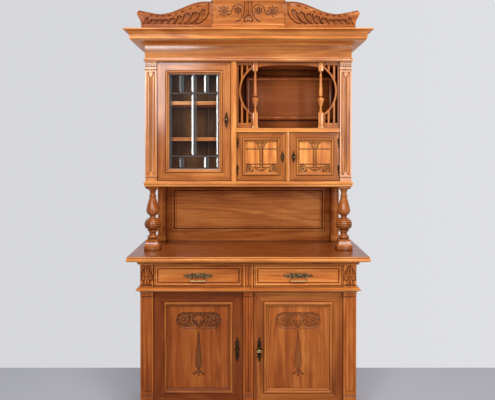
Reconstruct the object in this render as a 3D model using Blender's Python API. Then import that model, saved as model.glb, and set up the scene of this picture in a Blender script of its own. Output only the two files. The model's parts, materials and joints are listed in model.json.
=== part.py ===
"""Buffet cabinet: a cupboard with two drawers, an open gallery on turned columns and a glazed upper cabinet.

Metres, +Z up, the front faces -Y. The origin is on the floor, below the middle of the buffet top.
"""

import math

import bmesh
import bpy
from mathutils import Matrix, Vector

# Clearances, and how far a cutter runs past the face that it opens
GAP = 0.0003
DOOR_GAP = 0.002
DRAWER_GAP = 0.0015
CUT_OVER = 0.010

# Overall sizes
TOP_W = 1.30
TOP_D = 0.54
BODY_W = 1.17
FRONT_LIP = 0.05
HUTCH_W = 1.16
HUTCH_D = 0.36
PLINTH_H = 0.138
CUPBOARD_H = 0.612
WAIST_H = 0.024
DRAWER_H = 0.124
BED_H = 0.024
TOP_T = 0.028
GALLERY_H = 0.3595
HUTCH_FLOOR_T = 0.031
HUTCH_H = 0.6715
FRIEZE_H = 0.089
CORNICE_H = 0.08
CREST_H = 0.178

# Boards, posts and mouldings of the cupboard
SIDE_T = 0.022
BACK_T = 0.012
SHELF_T = 0.020
FLOOR_T = 0.018
POST_W = 0.070
POST_D = 0.045
CENTRE_POST_W = 0.054
REED_COUNT = 2
REED_MARGIN = 0.012
REED_RISE = 0.005
POST_CAP_H = 0.020
POST_FOOT_H = 0.060
PLINTH_PROUD = 0.014
PLINTH_RAIL = 0.060
WAIST_PROUD = 0.022
BED_START = 0.004
BED_PROUD = 0.040
BED_RAIL = 0.050
DIVIDER_T = 0.018
LOWER_SHELF_Z = 0.440
LOWER_SHELF_SETBACK = 0.070
SIDE_PANEL_MARGIN = 0.070
SIDE_PANEL_SINK = 0.005

# Doors
DOOR_SETBACK = 0.010
LOWER_FRAME_W = 0.062
LOWER_FRAME_T = 0.024
GLASS_FRAME_W = 0.048
GLASS_FRAME_T = 0.022
SMALL_FRAME_W = 0.032
SMALL_FRAME_T = 0.020
BEAD_W = 0.018
BEAD_PROUD = 0.006
PANEL_T = 0.008
GLASS_T = 0.004
PANEL_SINK = 0.008
GROOVE_DEPTH = 0.010
PIVOT_R = 0.004
PIVOT_LENGTH = 0.008
PIVOT_ROOT = 0.010
PIVOT_FROM_EDGE = 0.009
PIVOT_FROM_FACE = 0.005
CAME_W = 0.005
CAME_T = 0.0035
UPPER_LIGHTS_H = 0.107
LOWER_LIGHTS_H = 0.072

# Hinges of the small doors
KNUCKLE_R = 0.0037
KNUCKLE_SIDES = 14
HINGE_PIN_R = 0.0016
HINGE_LENGTH = 0.050
HINGE_FROM_END = 0.060
HINGE_GAP = 0.0024
LEAF_DEPTH = 0.014
STRAP_DEPTH = 0.005

# Locks and keys
LOCK_W = 0.026
LOCK_H = 0.056
LOCK_T = 0.012
KEY_R = 0.0028
KEY_BOW_W = 0.042
KEY_BOW_D = 0.026
KEY_BOW_R = 0.0022
KEY_REACH = 0.016
LOWER_KEY_Z = 0.433
SMALL_KEY_FROM_SHELF = 0.140
GLASS_KEY_FROM_FLOOR = 0.345

# Drawers and their pulls
DRAWER_FRONT_T = 0.022
DRAWER_WALL_T = 0.012
DRAWER_BOTTOM_T = 0.008
DRAWER_DEPTH = 0.400
DRAWER_BOX_DROP = 0.020
DRAWER_BORDER = 0.020
DRAWER_SINK = 0.005
PLATE_W = 0.160
PLATE_H = 0.028
PLATE_T = 0.002
PULL_POST_R = 0.005
PULL_POST_OUT = 0.013
PULL_POST_X = 0.034
BAIL_DROP = 0.028
BAIL_R = 0.0022
BAIL_BEND = 0.0044
BAIL_CORNER = 0.008

# Gallery
GALLERY_BACK_T = 0.020
GALLERY_BEAD = 0.020
GALLERY_MARGIN_X = 0.100
GALLERY_MARGIN_Z = 0.062
REAR_POST_W = 0.046
REAR_POST_D = 0.032
REAR_POST_FOOT_H = 0.035
SKIRT_H = 0.024
SKIRT_D = 0.012
COLUMN_FROM_SIDE = 0.035
COLUMN_SETBACK = 0.043
COLUMN_PLINTH_W = 0.086
COLUMN_PLINTH_H = 0.026
COLUMN_BLOCK_W = 0.068
COLUMN_ABACUS_W = 0.072
COLUMN_ABACUS_H = 0.014
COLUMN_ABACUS_FLARE = 0.007
COLUMN_COLLAR_R = 0.028
COLUMN_WAIST_R = 0.0195
COLUMN_RING_R = 0.0295
COLUMN_BULB_R = 0.048
COLUMN_VASE_R = 0.0345
COLUMN_BEAD_R = 0.0215
COLUMN_NECK_R = 0.0165
COLUMN_SIDES = 20

# Upper cabinet
PILASTER_W = 0.065
PILASTER_D = 0.030
PILASTER_CAP_H = 0.048
PILASTER_FOOT_H = 0.028
PILASTER_STEP = 0.005
FLUTE_W = 0.021
FLUTE_DEPTH = 0.006
FLUTE_RIDGE_W = 0.004
FLUTE_POINT_H = 0.022
FLUTE_FROM_END = 0.010
PARTITION_X = -0.0819
STILE_W = 0.031
STILE_D = 0.030
PARTITION_T = 0.018
NICHE_FLOOR_Z = 1.640
NICHE_FLOOR_T = 0.023
MULLION_W = 0.026
MULLION_D = 0.034
UPPER_SHELF_Z = (1.589, 1.796)
UPPER_SHELF_SETBACK = 0.060
HUTCH_FLOOR_PROUD = 0.010
FRIEZE_BEAD_H = 0.022
FRIEZE_BEAD_PROUD = 0.008
FRIEZE_WALL = 0.022
CORNICE_FASCIA_PROUD = 0.073
CORNICE_PROUD = 0.1035
CORNICE_COVE_H = 0.026
CORNICE_FASCIA_H = 0.033
CORNICE_TOP_T = 0.014

# Niche screen
SCREEN_T = 0.012
SCREEN_SETBACK = 0.010
SPINDLE_BLOCK_W = 0.027
SPINDLE_FOOT_W = 0.034
SPINDLE_FOOT_H = 0.012
SPINDLE_LOWER_H = 0.087
SPINDLE_UPPER_H = 0.050
SPINDLE_CUP_R = 0.0155
SPINDLE_BULB_R = 0.0195
SPINDLE_SHAFT_R = 0.0105
SPINDLE_TOP_R = 0.0065
SPINDLE_BEAD_R = 0.0085
SPINDLE_NECK_R = 0.006
SPINDLE_SIDES = 14
FRET_W = 0.092
FRET_ARC_REACH = 0.073
FRET_ARC_FROM_TOP = 0.028
FRET_ARC_FROM_FLOOR = 0.074
FRET_ARC_STEPS = 14
FRET_BAND = 0.009
FRET_BAR_W = 0.010
FRET_RAIL_H = 0.016
VALANCE_END_H = 0.030
VALANCE_MIDDLE_H = 0.016

# Crest
CREST_FROM_CORNICE_FRONT = 0.075
CREST_T = 0.024
TABLET_W = 0.396
TABLET_FOOT_H = 0.036
TABLET_CAP_H = 0.014
TABLET_PROUD = 0.010
TABLET_FACE_PROUD = 0.005
WING_T = 0.020
WING_END_INSET = 0.065
WING_INNER_H = 0.160
WING_VALLEY_H = 0.091
WING_HORN_H = 0.111
WING_FOOT_IN = 0.025

# Places worked out from the sizes
BACK = TOP_D / 2
TOP_FRONT = -TOP_D / 2
BODY_FRONT = TOP_FRONT + FRONT_LIP
BODY_HALF = BODY_W / 2
HUTCH_HALF = HUTCH_W / 2
HUTCH_FRONT = BACK - HUTCH_D
CUPBOARD_TOP = PLINTH_H + CUPBOARD_H
DECK_TOP = CUPBOARD_TOP + WAIST_H
BED_Z = DECK_TOP + DRAWER_H
TOP_UNDER = BED_Z + BED_H
TOP_Z = TOP_UNDER + TOP_T
GALLERY_TOP = TOP_Z + GALLERY_H
HUTCH_FLOOR_Z = GALLERY_TOP + HUTCH_FLOOR_T
FRIEZE_Z = HUTCH_FLOOR_Z + HUTCH_H
CORNICE_Z = FRIEZE_Z + FRIEZE_H
CREST_Z = CORNICE_Z + CORNICE_H
POST_INNER = BODY_HALF - POST_W
POST_BACK = BODY_FRONT + POST_D
INNER_BACK = BACK - BACK_T
PILASTER_INNER = HUTCH_HALF - PILASTER_W
STILE_LEFT = PARTITION_X - STILE_W / 2
STILE_RIGHT = PARTITION_X + STILE_W / 2
NICHE_MIDDLE = (STILE_RIGHT + PILASTER_INNER) / 2
NICHE_UNDER = NICHE_FLOOR_Z - NICHE_FLOOR_T
DOOR_FACE = BODY_FRONT + DOOR_SETBACK
UPPER_DOOR_FACE = HUTCH_FRONT + DOOR_SETBACK

# Finishes: colour, roughness, metallic
WALNUT = ((0.42, 0.17, 0.055), 0.35, 0.0)
PANEL_WALNUT = ((0.46, 0.19, 0.06), 0.35, 0.0)
INNER_PINE = ((0.50, 0.27, 0.11), 0.6, 0.0)
BRONZE = ((0.16, 0.10, 0.05), 0.4, 1.0)
BRASS = ((0.55, 0.36, 0.13), 0.35, 1.0)
LEAD = ((0.20, 0.20, 0.20), 0.5, 1.0)
GLASS = ((0.75, 0.85, 0.82), 0.05, 0.0)


def clear_scene():
    """Removes what the start scene holds."""
    for item in list(bpy.data.objects):
        bpy.data.objects.remove(item, do_unlink=True)


def finish_material(name, finish):
    """A Principled material with one colour."""
    colour, roughness, metallic = finish
    material = bpy.data.materials.new(name + "_finish")
    material.use_nodes = True
    shader = material.node_tree.nodes["Principled BSDF"]
    shader.inputs["Base Color"].default_value = (*colour, 1.0)
    shader.inputs["Roughness"].default_value = roughness
    shader.inputs["Metallic"].default_value = metallic
    return material


def mesh_of(name, bm):
    """Turns a bmesh into a mesh and frees it."""
    mesh = bpy.data.meshes.new(name)
    bm.to_mesh(mesh)
    bm.free()
    return mesh


def piece(name, bm, finish, axis=None, smooth=False):
    """Adds a named sub-part, parented to its joint's empty where it has one."""
    mesh = mesh_of(name, bm)
    if smooth:
        mesh.shade_smooth()
        mesh.set_sharp_from_angle(angle=math.radians(35))
    mesh.materials.append(finish_material(name, finish))
    item = bpy.data.objects.new(name, mesh)
    bpy.context.scene.collection.objects.link(item)
    if axis is not None:
        item.parent = axis
        item.matrix_parent_inverse = Matrix.Translation(axis.location).inverted()
    return item


def joint_axis(name, place):
    """An empty on a joint's axis, which carries the pieces that move with it."""
    empty = bpy.data.objects.new(name, None)
    empty.location = place
    empty.empty_display_size = 0.05
    bpy.context.scene.collection.objects.link(empty)
    return empty


def stacked(rings, endless=False):
    """Skins a run of rings of equal count, with caps on its ends unless the run is endless."""
    bm = bmesh.new()
    loops = [[bm.verts.new(point) for point in ring] for ring in rings]
    pairs = list(zip(loops, loops[1:]))
    if endless:
        pairs.append((loops[-1], loops[0]))
    else:
        bm.faces.new(loops[0])
        bm.faces.new(loops[-1])
    for low, high in pairs:
        for i in range(len(low)):
            j = (i + 1) % len(low)
            bm.faces.new((low[i], low[j], high[j], high[i]))
    bmesh.ops.recalc_face_normals(bm, faces=bm.faces)
    return bm


def rect_xy(x0, x1, y0, y1, z):
    return [(x0, y0, z), (x1, y0, z), (x1, y1, z), (x0, y1, z)]


def rect_xz(x0, x1, z0, z1, y):
    return [(x0, y, z0), (x1, y, z0), (x1, y, z1), (x0, y, z1)]


def rect_yz(y0, y1, z0, z1, x):
    return [(x, y0, z0), (x, y1, z0), (x, y1, z1), (x, y0, z1)]


def inset_xz(box, inset, y):
    """The rectangle (x0, x1, z0, z1) drawn in on all sides, at a depth."""
    x0, x1, z0, z1 = box
    return rect_xz(x0 + inset, x1 - inset, z0 + inset, z1 - inset, y)


def block(x0, x1, y0, y1, z0, z1):
    """A board or block between two corners."""
    return stacked([rect_xy(x0, x1, y0, y1, z0), rect_xy(x0, x1, y0, y1, z1)])


def upright(outline, z0, z1):
    """A prism on an outline of (x, y) points."""
    return stacked([[(x, y, z) for x, y in outline] for z in (z0, z1)])


def cut_out(outline, y0, y1):
    """A board sawn to an outline of (x, z) points."""
    return stacked([[(x, y, z) for x, z in outline] for y in (y0, y1)])


def round_point(centre, axis, radius, height, angle):
    """A point of a turned form, on an axis along x, y or z."""
    x, y, z = centre
    across = radius * math.cos(angle)
    along = radius * math.sin(angle)
    if axis == "x":
        return (x + height, y + across, z + along)
    if axis == "y":
        return (x + across, y + height, z + along)
    return (x + across, y + along, z + height)


def turned(profile, centre, sides, axis="z", endless=False):
    """Turns a profile of (radius, height) points about an axis."""
    angles = [2 * math.pi * i / sides for i in range(sides)]
    rings = [[round_point(centre, axis, r, h, a) for a in angles] for r, h in profile]
    return stacked(rings, endless)


def rod(centre, radius, low, high, sides=12, axis="z"):
    """A plain round rod."""
    return turned([(radius, low), (radius, high)], centre, sides, axis)


def arc(centre, radius_x, radius_y, start, end, steps):
    """Points on part of an ellipse, with the angles in degrees."""
    turns = [math.radians(start + (end - start) * i / steps) for i in range(steps + 1)]
    return [(centre[0] + radius_x * math.cos(t), centre[1] + radius_y * math.sin(t)) for t in turns]


def tube(points, across, radius, sides, endless=False):
    """A round wire along points that lie in a plane square to the vector across."""
    count = len(points)
    up = Vector(across) * radius
    angles = [2 * math.pi * k / sides for k in range(sides)]
    rings = []
    for i, point in enumerate(points):
        before = points[i - 1] if endless or i else point
        after = points[(i + 1) % count] if endless or i < count - 1 else point
        ahead = (Vector(after) - Vector(before)).normalized()
        aside = Vector(across).cross(ahead) * radius
        rings.append([Vector(point) + math.cos(a) * aside + math.sin(a) * up for a in angles])
    return stacked(rings, endless)


def combined(first, others, operation):
    """Runs Booleans on working copies and gives the result as a bmesh."""
    target = bpy.data.objects.new("work", mesh_of("work", first))
    bpy.context.scene.collection.objects.link(target)
    helpers = [target]
    for other in others:
        helper = bpy.data.objects.new("work_helper", mesh_of("work_helper", other))
        helper.hide_render = True
        bpy.context.scene.collection.objects.link(helper)
        helpers.append(helper)
        modifier = target.modifiers.new("combine", "BOOLEAN")
        modifier.operation = operation
        modifier.object = helper
    graph = bpy.context.evaluated_depsgraph_get()
    result = bmesh.new()
    result.from_object(target, graph)
    for helper in helpers:
        bpy.data.objects.remove(helper, do_unlink=True)
    return result


def fused(first, *others):
    return combined(first, others, "UNION")


def carved(first, *others):
    return combined(first, others, "DIFFERENCE")


def moulded_slab(half, front, back, layers):
    """A slab whose front and side edges step out by each layer's (proud, z), with a flat back."""
    return [rect_xy(-half - p, half + p, front - p, back, z) for p, z in layers]


def u_moulding(half, front, back, section):
    """A moulding mitred round the front and both sides, with a closed section of (proud, z) points."""
    def station(x_side, at_front):
        ring = []
        for p, z in section:
            ring.append((x_side * (half + p), front - p if at_front else back, z))
        return ring
    return stacked([station(-1, False), station(-1, True), station(1, True), station(1, False)])


def frame_section(width, thick, panel_t):
    """Section of a mitred door frame as (inset, depth): stile, proud bead, cove, panel groove, back."""
    crest = width + BEAD_W * 0.45
    inner = width + BEAD_W
    bead = arc((crest - BEAD_W * 0.2, 0), crest - BEAD_W * 0.2 - width, -BEAD_PROUD, 180, 90, 3)
    cove = arc((inner, -BEAD_PROUD), -(inner - crest), BEAD_PROUD + PANEL_SINK - GAP, 0, 90, 3)
    groove_back = PANEL_SINK + panel_t + GAP
    return [
        (0, 0),
        *bead,
        *cove,
        (inner - GROOVE_DEPTH, PANEL_SINK - GAP),
        (inner - GROOVE_DEPTH, groove_back),
        (inner, groove_back),
        (inner, thick),
        (0, thick),
    ]


def mitred_frame(x0, x1, z0, z1, face, section):
    """A frame of four mitred members round an opening."""
    rings = [inset_xz((x0, x1, z0, z1), inset, face + depth) for inset, depth in section]
    return stacked(rings, endless=True)


def framed_panel(x0, x1, z0, z1, face, width, panel_t):
    """The board that sits in a mitred frame's groove."""
    inset = width + BEAD_W - GROOVE_DEPTH + GAP
    front = face + PANEL_SINK
    return block(x0 + inset, x1 - inset, front, front + panel_t, z0 + inset, z1 - inset)


def sunk_board(outer, inner_x, margin_y, margin_z, y0, y1, z0, z1):
    """A side board with a sunk panel on its outer face."""
    sunk = outer + (inner_x - outer) * SIDE_PANEL_SINK / SIDE_T
    bevel = SIDE_PANEL_SINK * 2
    rings = [
        rect_yz(y0, y1, z0, z1, inner_x),
        rect_yz(y0, y1, z0, z1, outer),
        rect_yz(y0 + margin_y, y1 - margin_y, z0 + margin_z, z1 - margin_z, outer),
        rect_yz(
            y0 + margin_y + bevel,
            y1 - margin_y - bevel,
            z0 + margin_z + bevel,
            z1 - margin_z - bevel,
            sunk,
        ),
    ]
    return stacked(rings)


# Cupboard


def build_plinth():
    half = BODY_HALF
    outer = [
        (PLINTH_PROUD, 0),
        (PLINTH_PROUD, PLINTH_H * 0.72),
        (PLINTH_PROUD * 0.5, PLINTH_H * 0.8),
        (PLINTH_PROUD * 0.6, PLINTH_H * 0.9),
        (0, PLINTH_H),
    ]
    rings = moulded_slab(half, BODY_FRONT, BACK, outer)
    hole = (-half + PLINTH_RAIL, half - PLINTH_RAIL, BODY_FRONT + PLINTH_RAIL, BACK - PLINTH_RAIL)
    rings.append(rect_xy(*hole, PLINTH_H))
    rings.append(rect_xy(*hole, 0))
    bores = [
        rod((x, DOOR_FACE + PIVOT_FROM_FACE, PLINTH_H), PIVOT_R + GAP, -PIVOT_LENGTH - GAP, CUT_OVER)
        for x in (-lower_pivot_x(), lower_pivot_x())
    ]
    piece("plinth", carved(stacked(rings, endless=True), *bores), WALNUT)


def lower_pivot_x():
    return POST_INNER - DOOR_GAP - PIVOT_FROM_EDGE


def build_lower_boards():
    z0 = PLINTH_H + GAP
    z1 = BED_Z - GAP
    side_back = INNER_BACK - GAP
    for name, side in (("left", -1), ("right", 1)):
        outer = side * BODY_HALF
        inner = side * (BODY_HALF - SIDE_T)
        board = sunk_board(
            outer, inner, SIDE_PANEL_MARGIN, SIDE_PANEL_MARGIN, POST_BACK + GAP, side_back, z0, z1
        )
        piece("lower_side_" + name, board, WALNUT)
    inside = BODY_HALF - SIDE_T - GAP
    piece("lower_back", block(-BODY_HALF, BODY_HALF, INNER_BACK, BACK, z0, z1), INNER_PINE)
    floor_front = DOOR_FACE + LOWER_FRAME_T + DOOR_GAP
    floor = upright(notched_outline(inside, floor_front, side_back), z0, z0 + FLOOR_T)
    piece("lower_floor", floor, INNER_PINE)
    shelf_front = DOOR_FACE + LOWER_SHELF_SETBACK
    shelf = block(-inside, inside, shelf_front, side_back, LOWER_SHELF_Z - SHELF_T, LOWER_SHELF_Z)
    piece("lower_shelf", shelf, INNER_PINE)


def notched_outline(inside, front, back):
    """Outline of a board that fits between the sides and round the three front posts."""
    behind = POST_BACK + GAP
    post = POST_INNER - GAP
    centre = CENTRE_POST_W / 2 + GAP
    right = [(centre, behind), (centre, front), (post, front), (post, behind)]
    right += [(inside, behind), (inside, back)]
    left = [(-x, y) for x, y in reversed(right)]
    return left + right


def build_drawer_deck():
    inside = BODY_HALF - SIDE_T - GAP
    back = INNER_BACK - GAP
    deck = upright(notched_outline(inside, BODY_FRONT, back), CUPBOARD_TOP, DECK_TOP)
    half = DIVIDER_T / 2
    divider = block(-half, half, POST_BACK + GAP, back, DECK_TOP - SHELF_T / 2, BED_Z - GAP)
    bores = [
        rod((x, DOOR_FACE + PIVOT_FROM_FACE, CUPBOARD_TOP), PIVOT_R + GAP, -CUT_OVER, PIVOT_LENGTH + GAP)
        for x in (-lower_pivot_x(), lower_pivot_x())
    ]
    piece("drawer_deck", carved(fused(deck, divider), *bores), INNER_PINE)


def build_waist_moulding():
    z0 = CUPBOARD_TOP
    p = WAIST_PROUD
    section = [
        (GAP, z0),
        (p * 0.35, z0),
        *arc((p * 0.35, z0 + WAIST_H * 0.45), p * 0.4, WAIST_H * 0.3, -60, 0, 2),
        (p, z0 + WAIST_H * 0.55),
        (p, z0 + WAIST_H * 0.85),
        (p * 0.85, z0 + WAIST_H),
        (GAP, z0 + WAIST_H),
    ]
    moulding = u_moulding(BODY_HALF, BODY_FRONT, BACK, section)
    piece("waist_moulding", moulding, WALNUT)


def reeded_post(x0, x1, y0, y1, foot, cap, z0, z1, top):
    """A post with reeds between flat margins, a foot and a cap, and a plain block above its shaft."""
    shaft_face = y0 + REED_RISE
    body = block(x0, x1, shaft_face, y1, z0, top)
    parts = [
        block(x0, x1, y0, y1 - REED_RISE, z0, z0 + foot),
        block(x0, x1, y0, y1 - REED_RISE, z1 - cap, top),
    ]
    pitch = (x1 - x0 - REED_MARGIN * 2) / REED_COUNT
    half = pitch * 0.46
    root = shaft_face + REED_RISE
    for i in range(REED_COUNT):
        middle = x0 + REED_MARGIN + pitch * (i + 0.5)
        outline = arc((middle, shaft_face), half, -REED_RISE * 0.9, 0, 180, 6)
        outline += [(middle - half, root), (middle + half, root)]
        parts.append(upright(outline, z0 + foot / 2, z1 - cap / 2))
    for start, end in ((x0, x0 + REED_MARGIN), (x1 - REED_MARGIN, x1)):
        parts.append(block(start, end, y0 + GAP, root, z0 + foot / 2, z1 - cap / 2))
    return fused(body, *parts)


def build_front_posts():
    z0 = PLINTH_H + GAP
    top = BED_Z - GAP
    half = CENTRE_POST_W / 2
    spans = {
        "left": (-BODY_HALF, -POST_INNER),
        "centre": (-half, half),
        "right": (POST_INNER, BODY_HALF),
    }
    for name, (x0, x1) in spans.items():
        post = reeded_post(x0, x1, BODY_FRONT, POST_BACK, POST_FOOT_H, POST_CAP_H, z0, CUPBOARD_TOP, top)
        piece("front_post_" + name, post, WALNUT)


def build_buffet_top():
    bed = [(BED_START, BED_Z), (BED_PROUD * 0.4, BED_Z + BED_H * 0.2)]
    bed += [(BED_PROUD * 0.5, BED_Z + BED_H * 0.45)]
    bed += [(BED_PROUD, BED_Z + BED_H * 0.8), (BED_PROUD, TOP_UNDER)]
    rings = moulded_slab(BODY_HALF, BODY_FRONT, BACK, bed)
    pocket = (-BODY_HALF + BED_RAIL, BODY_HALF - BED_RAIL, BODY_FRONT + BED_RAIL, BACK - BED_RAIL)
    rings = [rect_xy(*pocket, TOP_UNDER), rect_xy(*pocket, BED_Z)] + rings
    nose = arc((0, 0), 1, 1, -90, 90, 4)
    edge = TOP_T * 0.3
    for out, rise in nose:
        inset = edge * (1 - out)
        z = TOP_UNDER + TOP_T * (rise + 1) / 2
        rings.append(rect_xy(-TOP_W / 2 + inset, TOP_W / 2 - inset, TOP_FRONT + inset, BACK, z))
    piece("buffet_top", stacked(rings), WALNUT)


# Lower doors and drawers


def pivots(x, face, z0, z1):
    """The pins on the ends of a door, which reach through its running gap into their bores."""
    y = face + PIVOT_FROM_FACE
    reach = DOOR_GAP + PIVOT_LENGTH
    return [
        rod((x, y, z0), PIVOT_R, -reach, PIVOT_ROOT),
        rod((x, y, z1), PIVOT_R, -PIVOT_ROOT, reach),
    ]


def lock_case(x, z, face, thick):
    """The lock on the inner face of a door stile."""
    half = LOCK_W / 2
    high = LOCK_H / 2
    back = face + thick
    return block(x - half, x + half, back - GAP, back + LOCK_T, z - high, z + high)


def key_bore(x, z, face, thick):
    """The keyhole through the stile into the lock."""
    return rod((x, face, z), KEY_R + GAP, -CUT_OVER, thick + LOCK_T / 2 + GAP, axis="y")


def build_key(name, x, z, face, thick, door):
    """A key in its lock: bow, collar and shank."""
    axis = joint_axis(name + "_axis", (x, face, z))
    axis.parent = door
    axis.matrix_parent_inverse = Matrix.Translation(door.location).inverted()
    shank = turned(
        [
            (KEY_R, thick + LOCK_T / 2),
            (KEY_R, -KEY_REACH * 0.4),
            (KEY_R * 1.7, -KEY_REACH * 0.5),
            (KEY_R * 1.7, -KEY_REACH * 0.65),
            (KEY_R, -KEY_REACH * 0.75),
            (KEY_R, -KEY_REACH - KEY_BOW_R),
        ],
        (x, face, z),
        12,
        "y",
    )
    middle = (x, face - KEY_REACH - KEY_BOW_D / 2)
    loop = arc(middle, KEY_BOW_W / 2 - KEY_BOW_R, KEY_BOW_D / 2 - KEY_BOW_R, 0, 360, 20)[:-1]
    bow = tube([(px, py, z) for px, py in loop], (0, 0, 1), KEY_BOW_R, 8, endless=True)
    item = piece(name, fused(shank, bow), BRASS, smooth=True)
    item.parent = axis
    item.matrix_parent_inverse = Matrix.Translation((x, face, z)).inverted()


def build_lower_doors():
    z0 = PLINTH_H + DOOR_GAP
    z1 = CUPBOARD_TOP - DOOR_GAP
    face = DOOR_FACE
    inner = CENTRE_POST_W / 2 + DOOR_GAP
    outer = POST_INNER - DOOR_GAP
    section = frame_section(LOWER_FRAME_W, LOWER_FRAME_T, PANEL_T)
    for name, side in (("left", -1), ("right", 1)):
        x0, x1 = sorted((side * inner, side * outer))
        pivot_x = side * lower_pivot_x()
        lock_x = side * (inner + LOWER_FRAME_W / 2)
        axis = joint_axis("lower_" + name + "_door_axis", (pivot_x, face + PIVOT_FROM_FACE, z0))
        frame = mitred_frame(x0, x1, z0, z1, face, section)
        lock = lock_case(lock_x, LOWER_KEY_Z, face, LOWER_FRAME_T)
        frame = fused(frame, lock, *pivots(pivot_x, face, z0, z1))
        frame = carved(frame, key_bore(lock_x, LOWER_KEY_Z, face, LOWER_FRAME_T))
        piece("lower_" + name + "_frame", frame, WALNUT, axis)
        panel = framed_panel(x0, x1, z0, z1, face, LOWER_FRAME_W, PANEL_T)
        piece("lower_" + name + "_panel", panel, PANEL_WALNUT, axis)
        if side > 0:
            build_key("lower_key", lock_x, LOWER_KEY_Z, face, LOWER_FRAME_T, axis)


def build_drawers():
    inner = CENTRE_POST_W / 2 + DRAWER_GAP
    outer = POST_INNER - DRAWER_GAP
    face = BODY_FRONT + DOOR_SETBACK / 2
    z0 = DECK_TOP + GAP
    z1 = BED_Z - DRAWER_GAP
    for name, side in (("left", -1), ("right", 1)):
        x0, x1 = sorted((side * inner, side * outer))
        middle = ((x0 + x1) / 2, face, (z0 + z1) / 2)
        axis = joint_axis(name + "_drawer_axis", middle)
        outside = (x0, x1, z0, z1)
        front = stacked(
            [
                inset_xz(outside, 0, face + DRAWER_FRONT_T),
                inset_xz(outside, 0, face),
                inset_xz(outside, DRAWER_BORDER, face),
                inset_xz(outside, DRAWER_BORDER + DRAWER_SINK, face + DRAWER_SINK),
            ]
        )
        wall = DRAWER_WALL_T
        start = face + DRAWER_FRONT_T / 2
        end = face + DRAWER_DEPTH
        rim = z1 - DRAWER_BOX_DROP
        inside = (x0 + wall, x1 - wall, face + DRAWER_FRONT_T, end - wall)
        box = stacked(
            [
                rect_xy(x0, x1, start, end, z0),
                rect_xy(x0, x1, start, end, rim),
                rect_xy(*inside, rim),
                rect_xy(*inside, z0 + DRAWER_BOTTOM_T),
            ]
        )
        piece(name + "_drawer", fused(front, box), WALNUT, axis)
        build_pull(name, middle, axis)


def build_pull(name, middle, drawer):
    """A pierced back plate with two posts, and the bail that swings in them."""
    x, face, z = middle
    plate_back = face + DRAWER_SINK - GAP
    plate_front = plate_back - PLATE_T
    hinge_y = plate_front - PULL_POST_OUT * 0.6
    h = PLATE_H / 2
    w = PLATE_W / 2
    outline = [(-w, 0), (-w * 0.8, h * 0.6), (-w * 0.62, h * 0.35), (-w * 0.4, h), (w * 0.4, h)]
    outline += [(w * 0.62, h * 0.35), (w * 0.8, h * 0.6), (w, 0)]
    outline += [(px, -pz) for px, pz in reversed(outline[1:-1])]
    plate = cut_out([(x + px, z + pz) for px, pz in outline], plate_front, plate_back)
    posts = []
    bores = []
    for side in (-1, 1):
        post_x = x + side * PULL_POST_X
        profile = [
            (PULL_POST_R, PLATE_T / 2),
            (PULL_POST_R, -PULL_POST_OUT * 0.9),
            (PULL_POST_R * 0.6, -PULL_POST_OUT),
        ]
        posts.append(turned(profile, (post_x, plate_front, z), 12, "y"))
        bores.append(rod((x, hinge_y, z), BAIL_R + GAP, *sorted(bore_span(side)), axis="x"))
    piece(name + "_pull_plate", carved(fused(plate, *posts), *bores), BRONZE, drawer)
    axis = joint_axis(name + "_bail_axis", (x, hinge_y, z))
    axis.parent = drawer
    axis.matrix_parent_inverse = Matrix.Translation(drawer.location).inverted()
    pin_end = PULL_POST_X + PULL_POST_R + GAP
    reach = pin_end + BAIL_BEND
    right = [(PULL_POST_X - PULL_POST_R * 0.3, 0), (pin_end, 0)]
    right += arc((pin_end, -BAIL_BEND), BAIL_BEND, BAIL_BEND, 60, 0, 2)
    corner = (reach - BAIL_CORNER, BAIL_CORNER - BAIL_DROP)
    right += arc(corner, BAIL_CORNER, BAIL_CORNER, 0, -90, 4)
    left = [(-px, pz) for px, pz in reversed(right)]
    path = [(x + px, hinge_y, z + pz) for px, pz in right + left]
    bail = piece(name + "_bail", tube(path, (0, 1, 0), BAIL_R, 8), BRASS, smooth=True)
    bail.parent = axis
    bail.matrix_parent_inverse = Matrix.Translation((x, hinge_y, z)).inverted()


def bore_span(side):
    """The blind bore in a pull's post, open on its outer side."""
    return side * (PULL_POST_X - PULL_POST_R * 0.3 - GAP), side * (PULL_POST_X + PULL_POST_R * 2)


# Gallery


def build_gallery_back():
    half = HUTCH_HALF - SIDE_T
    z0 = TOP_Z + GAP
    z1 = GALLERY_TOP - GAP
    face = BACK - GALLERY_BACK_T
    wide = half - GALLERY_MARGIN_X
    board = (-half, half, z0, z1)
    moulding = (-wide, wide, z0 + GALLERY_MARGIN_Z, z1 - GALLERY_MARGIN_Z / 2)
    rings = [
        inset_xz(board, 0, BACK),
        inset_xz(board, 0, face),
        inset_xz(moulding, 0, face),
        inset_xz(moulding, GALLERY_BEAD / 3, face - BEAD_PROUD),
        inset_xz(moulding, GALLERY_BEAD, face + PANEL_SINK / 2),
    ]
    parts = [block(-half, half, face - SKIRT_D, face + SKIRT_D, z0, z0 + SKIRT_H)]
    for side in (-1, 1):
        x0, x1 = sorted((side * half, side * (half - REAR_POST_W)))
        grow = REAR_POST_W * 0.06
        parts.append(block(x0, x1, face - REAR_POST_D, face + SKIRT_D, z0, z1))
        foot = (x0 - grow, x1 + grow, face - REAR_POST_D - grow, face + SKIRT_D / 2)
        parts.append(block(*foot, z0, z0 + REAR_POST_FOOT_H))
    piece("gallery_back", fused(stacked(rings), *parts), WALNUT)


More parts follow.
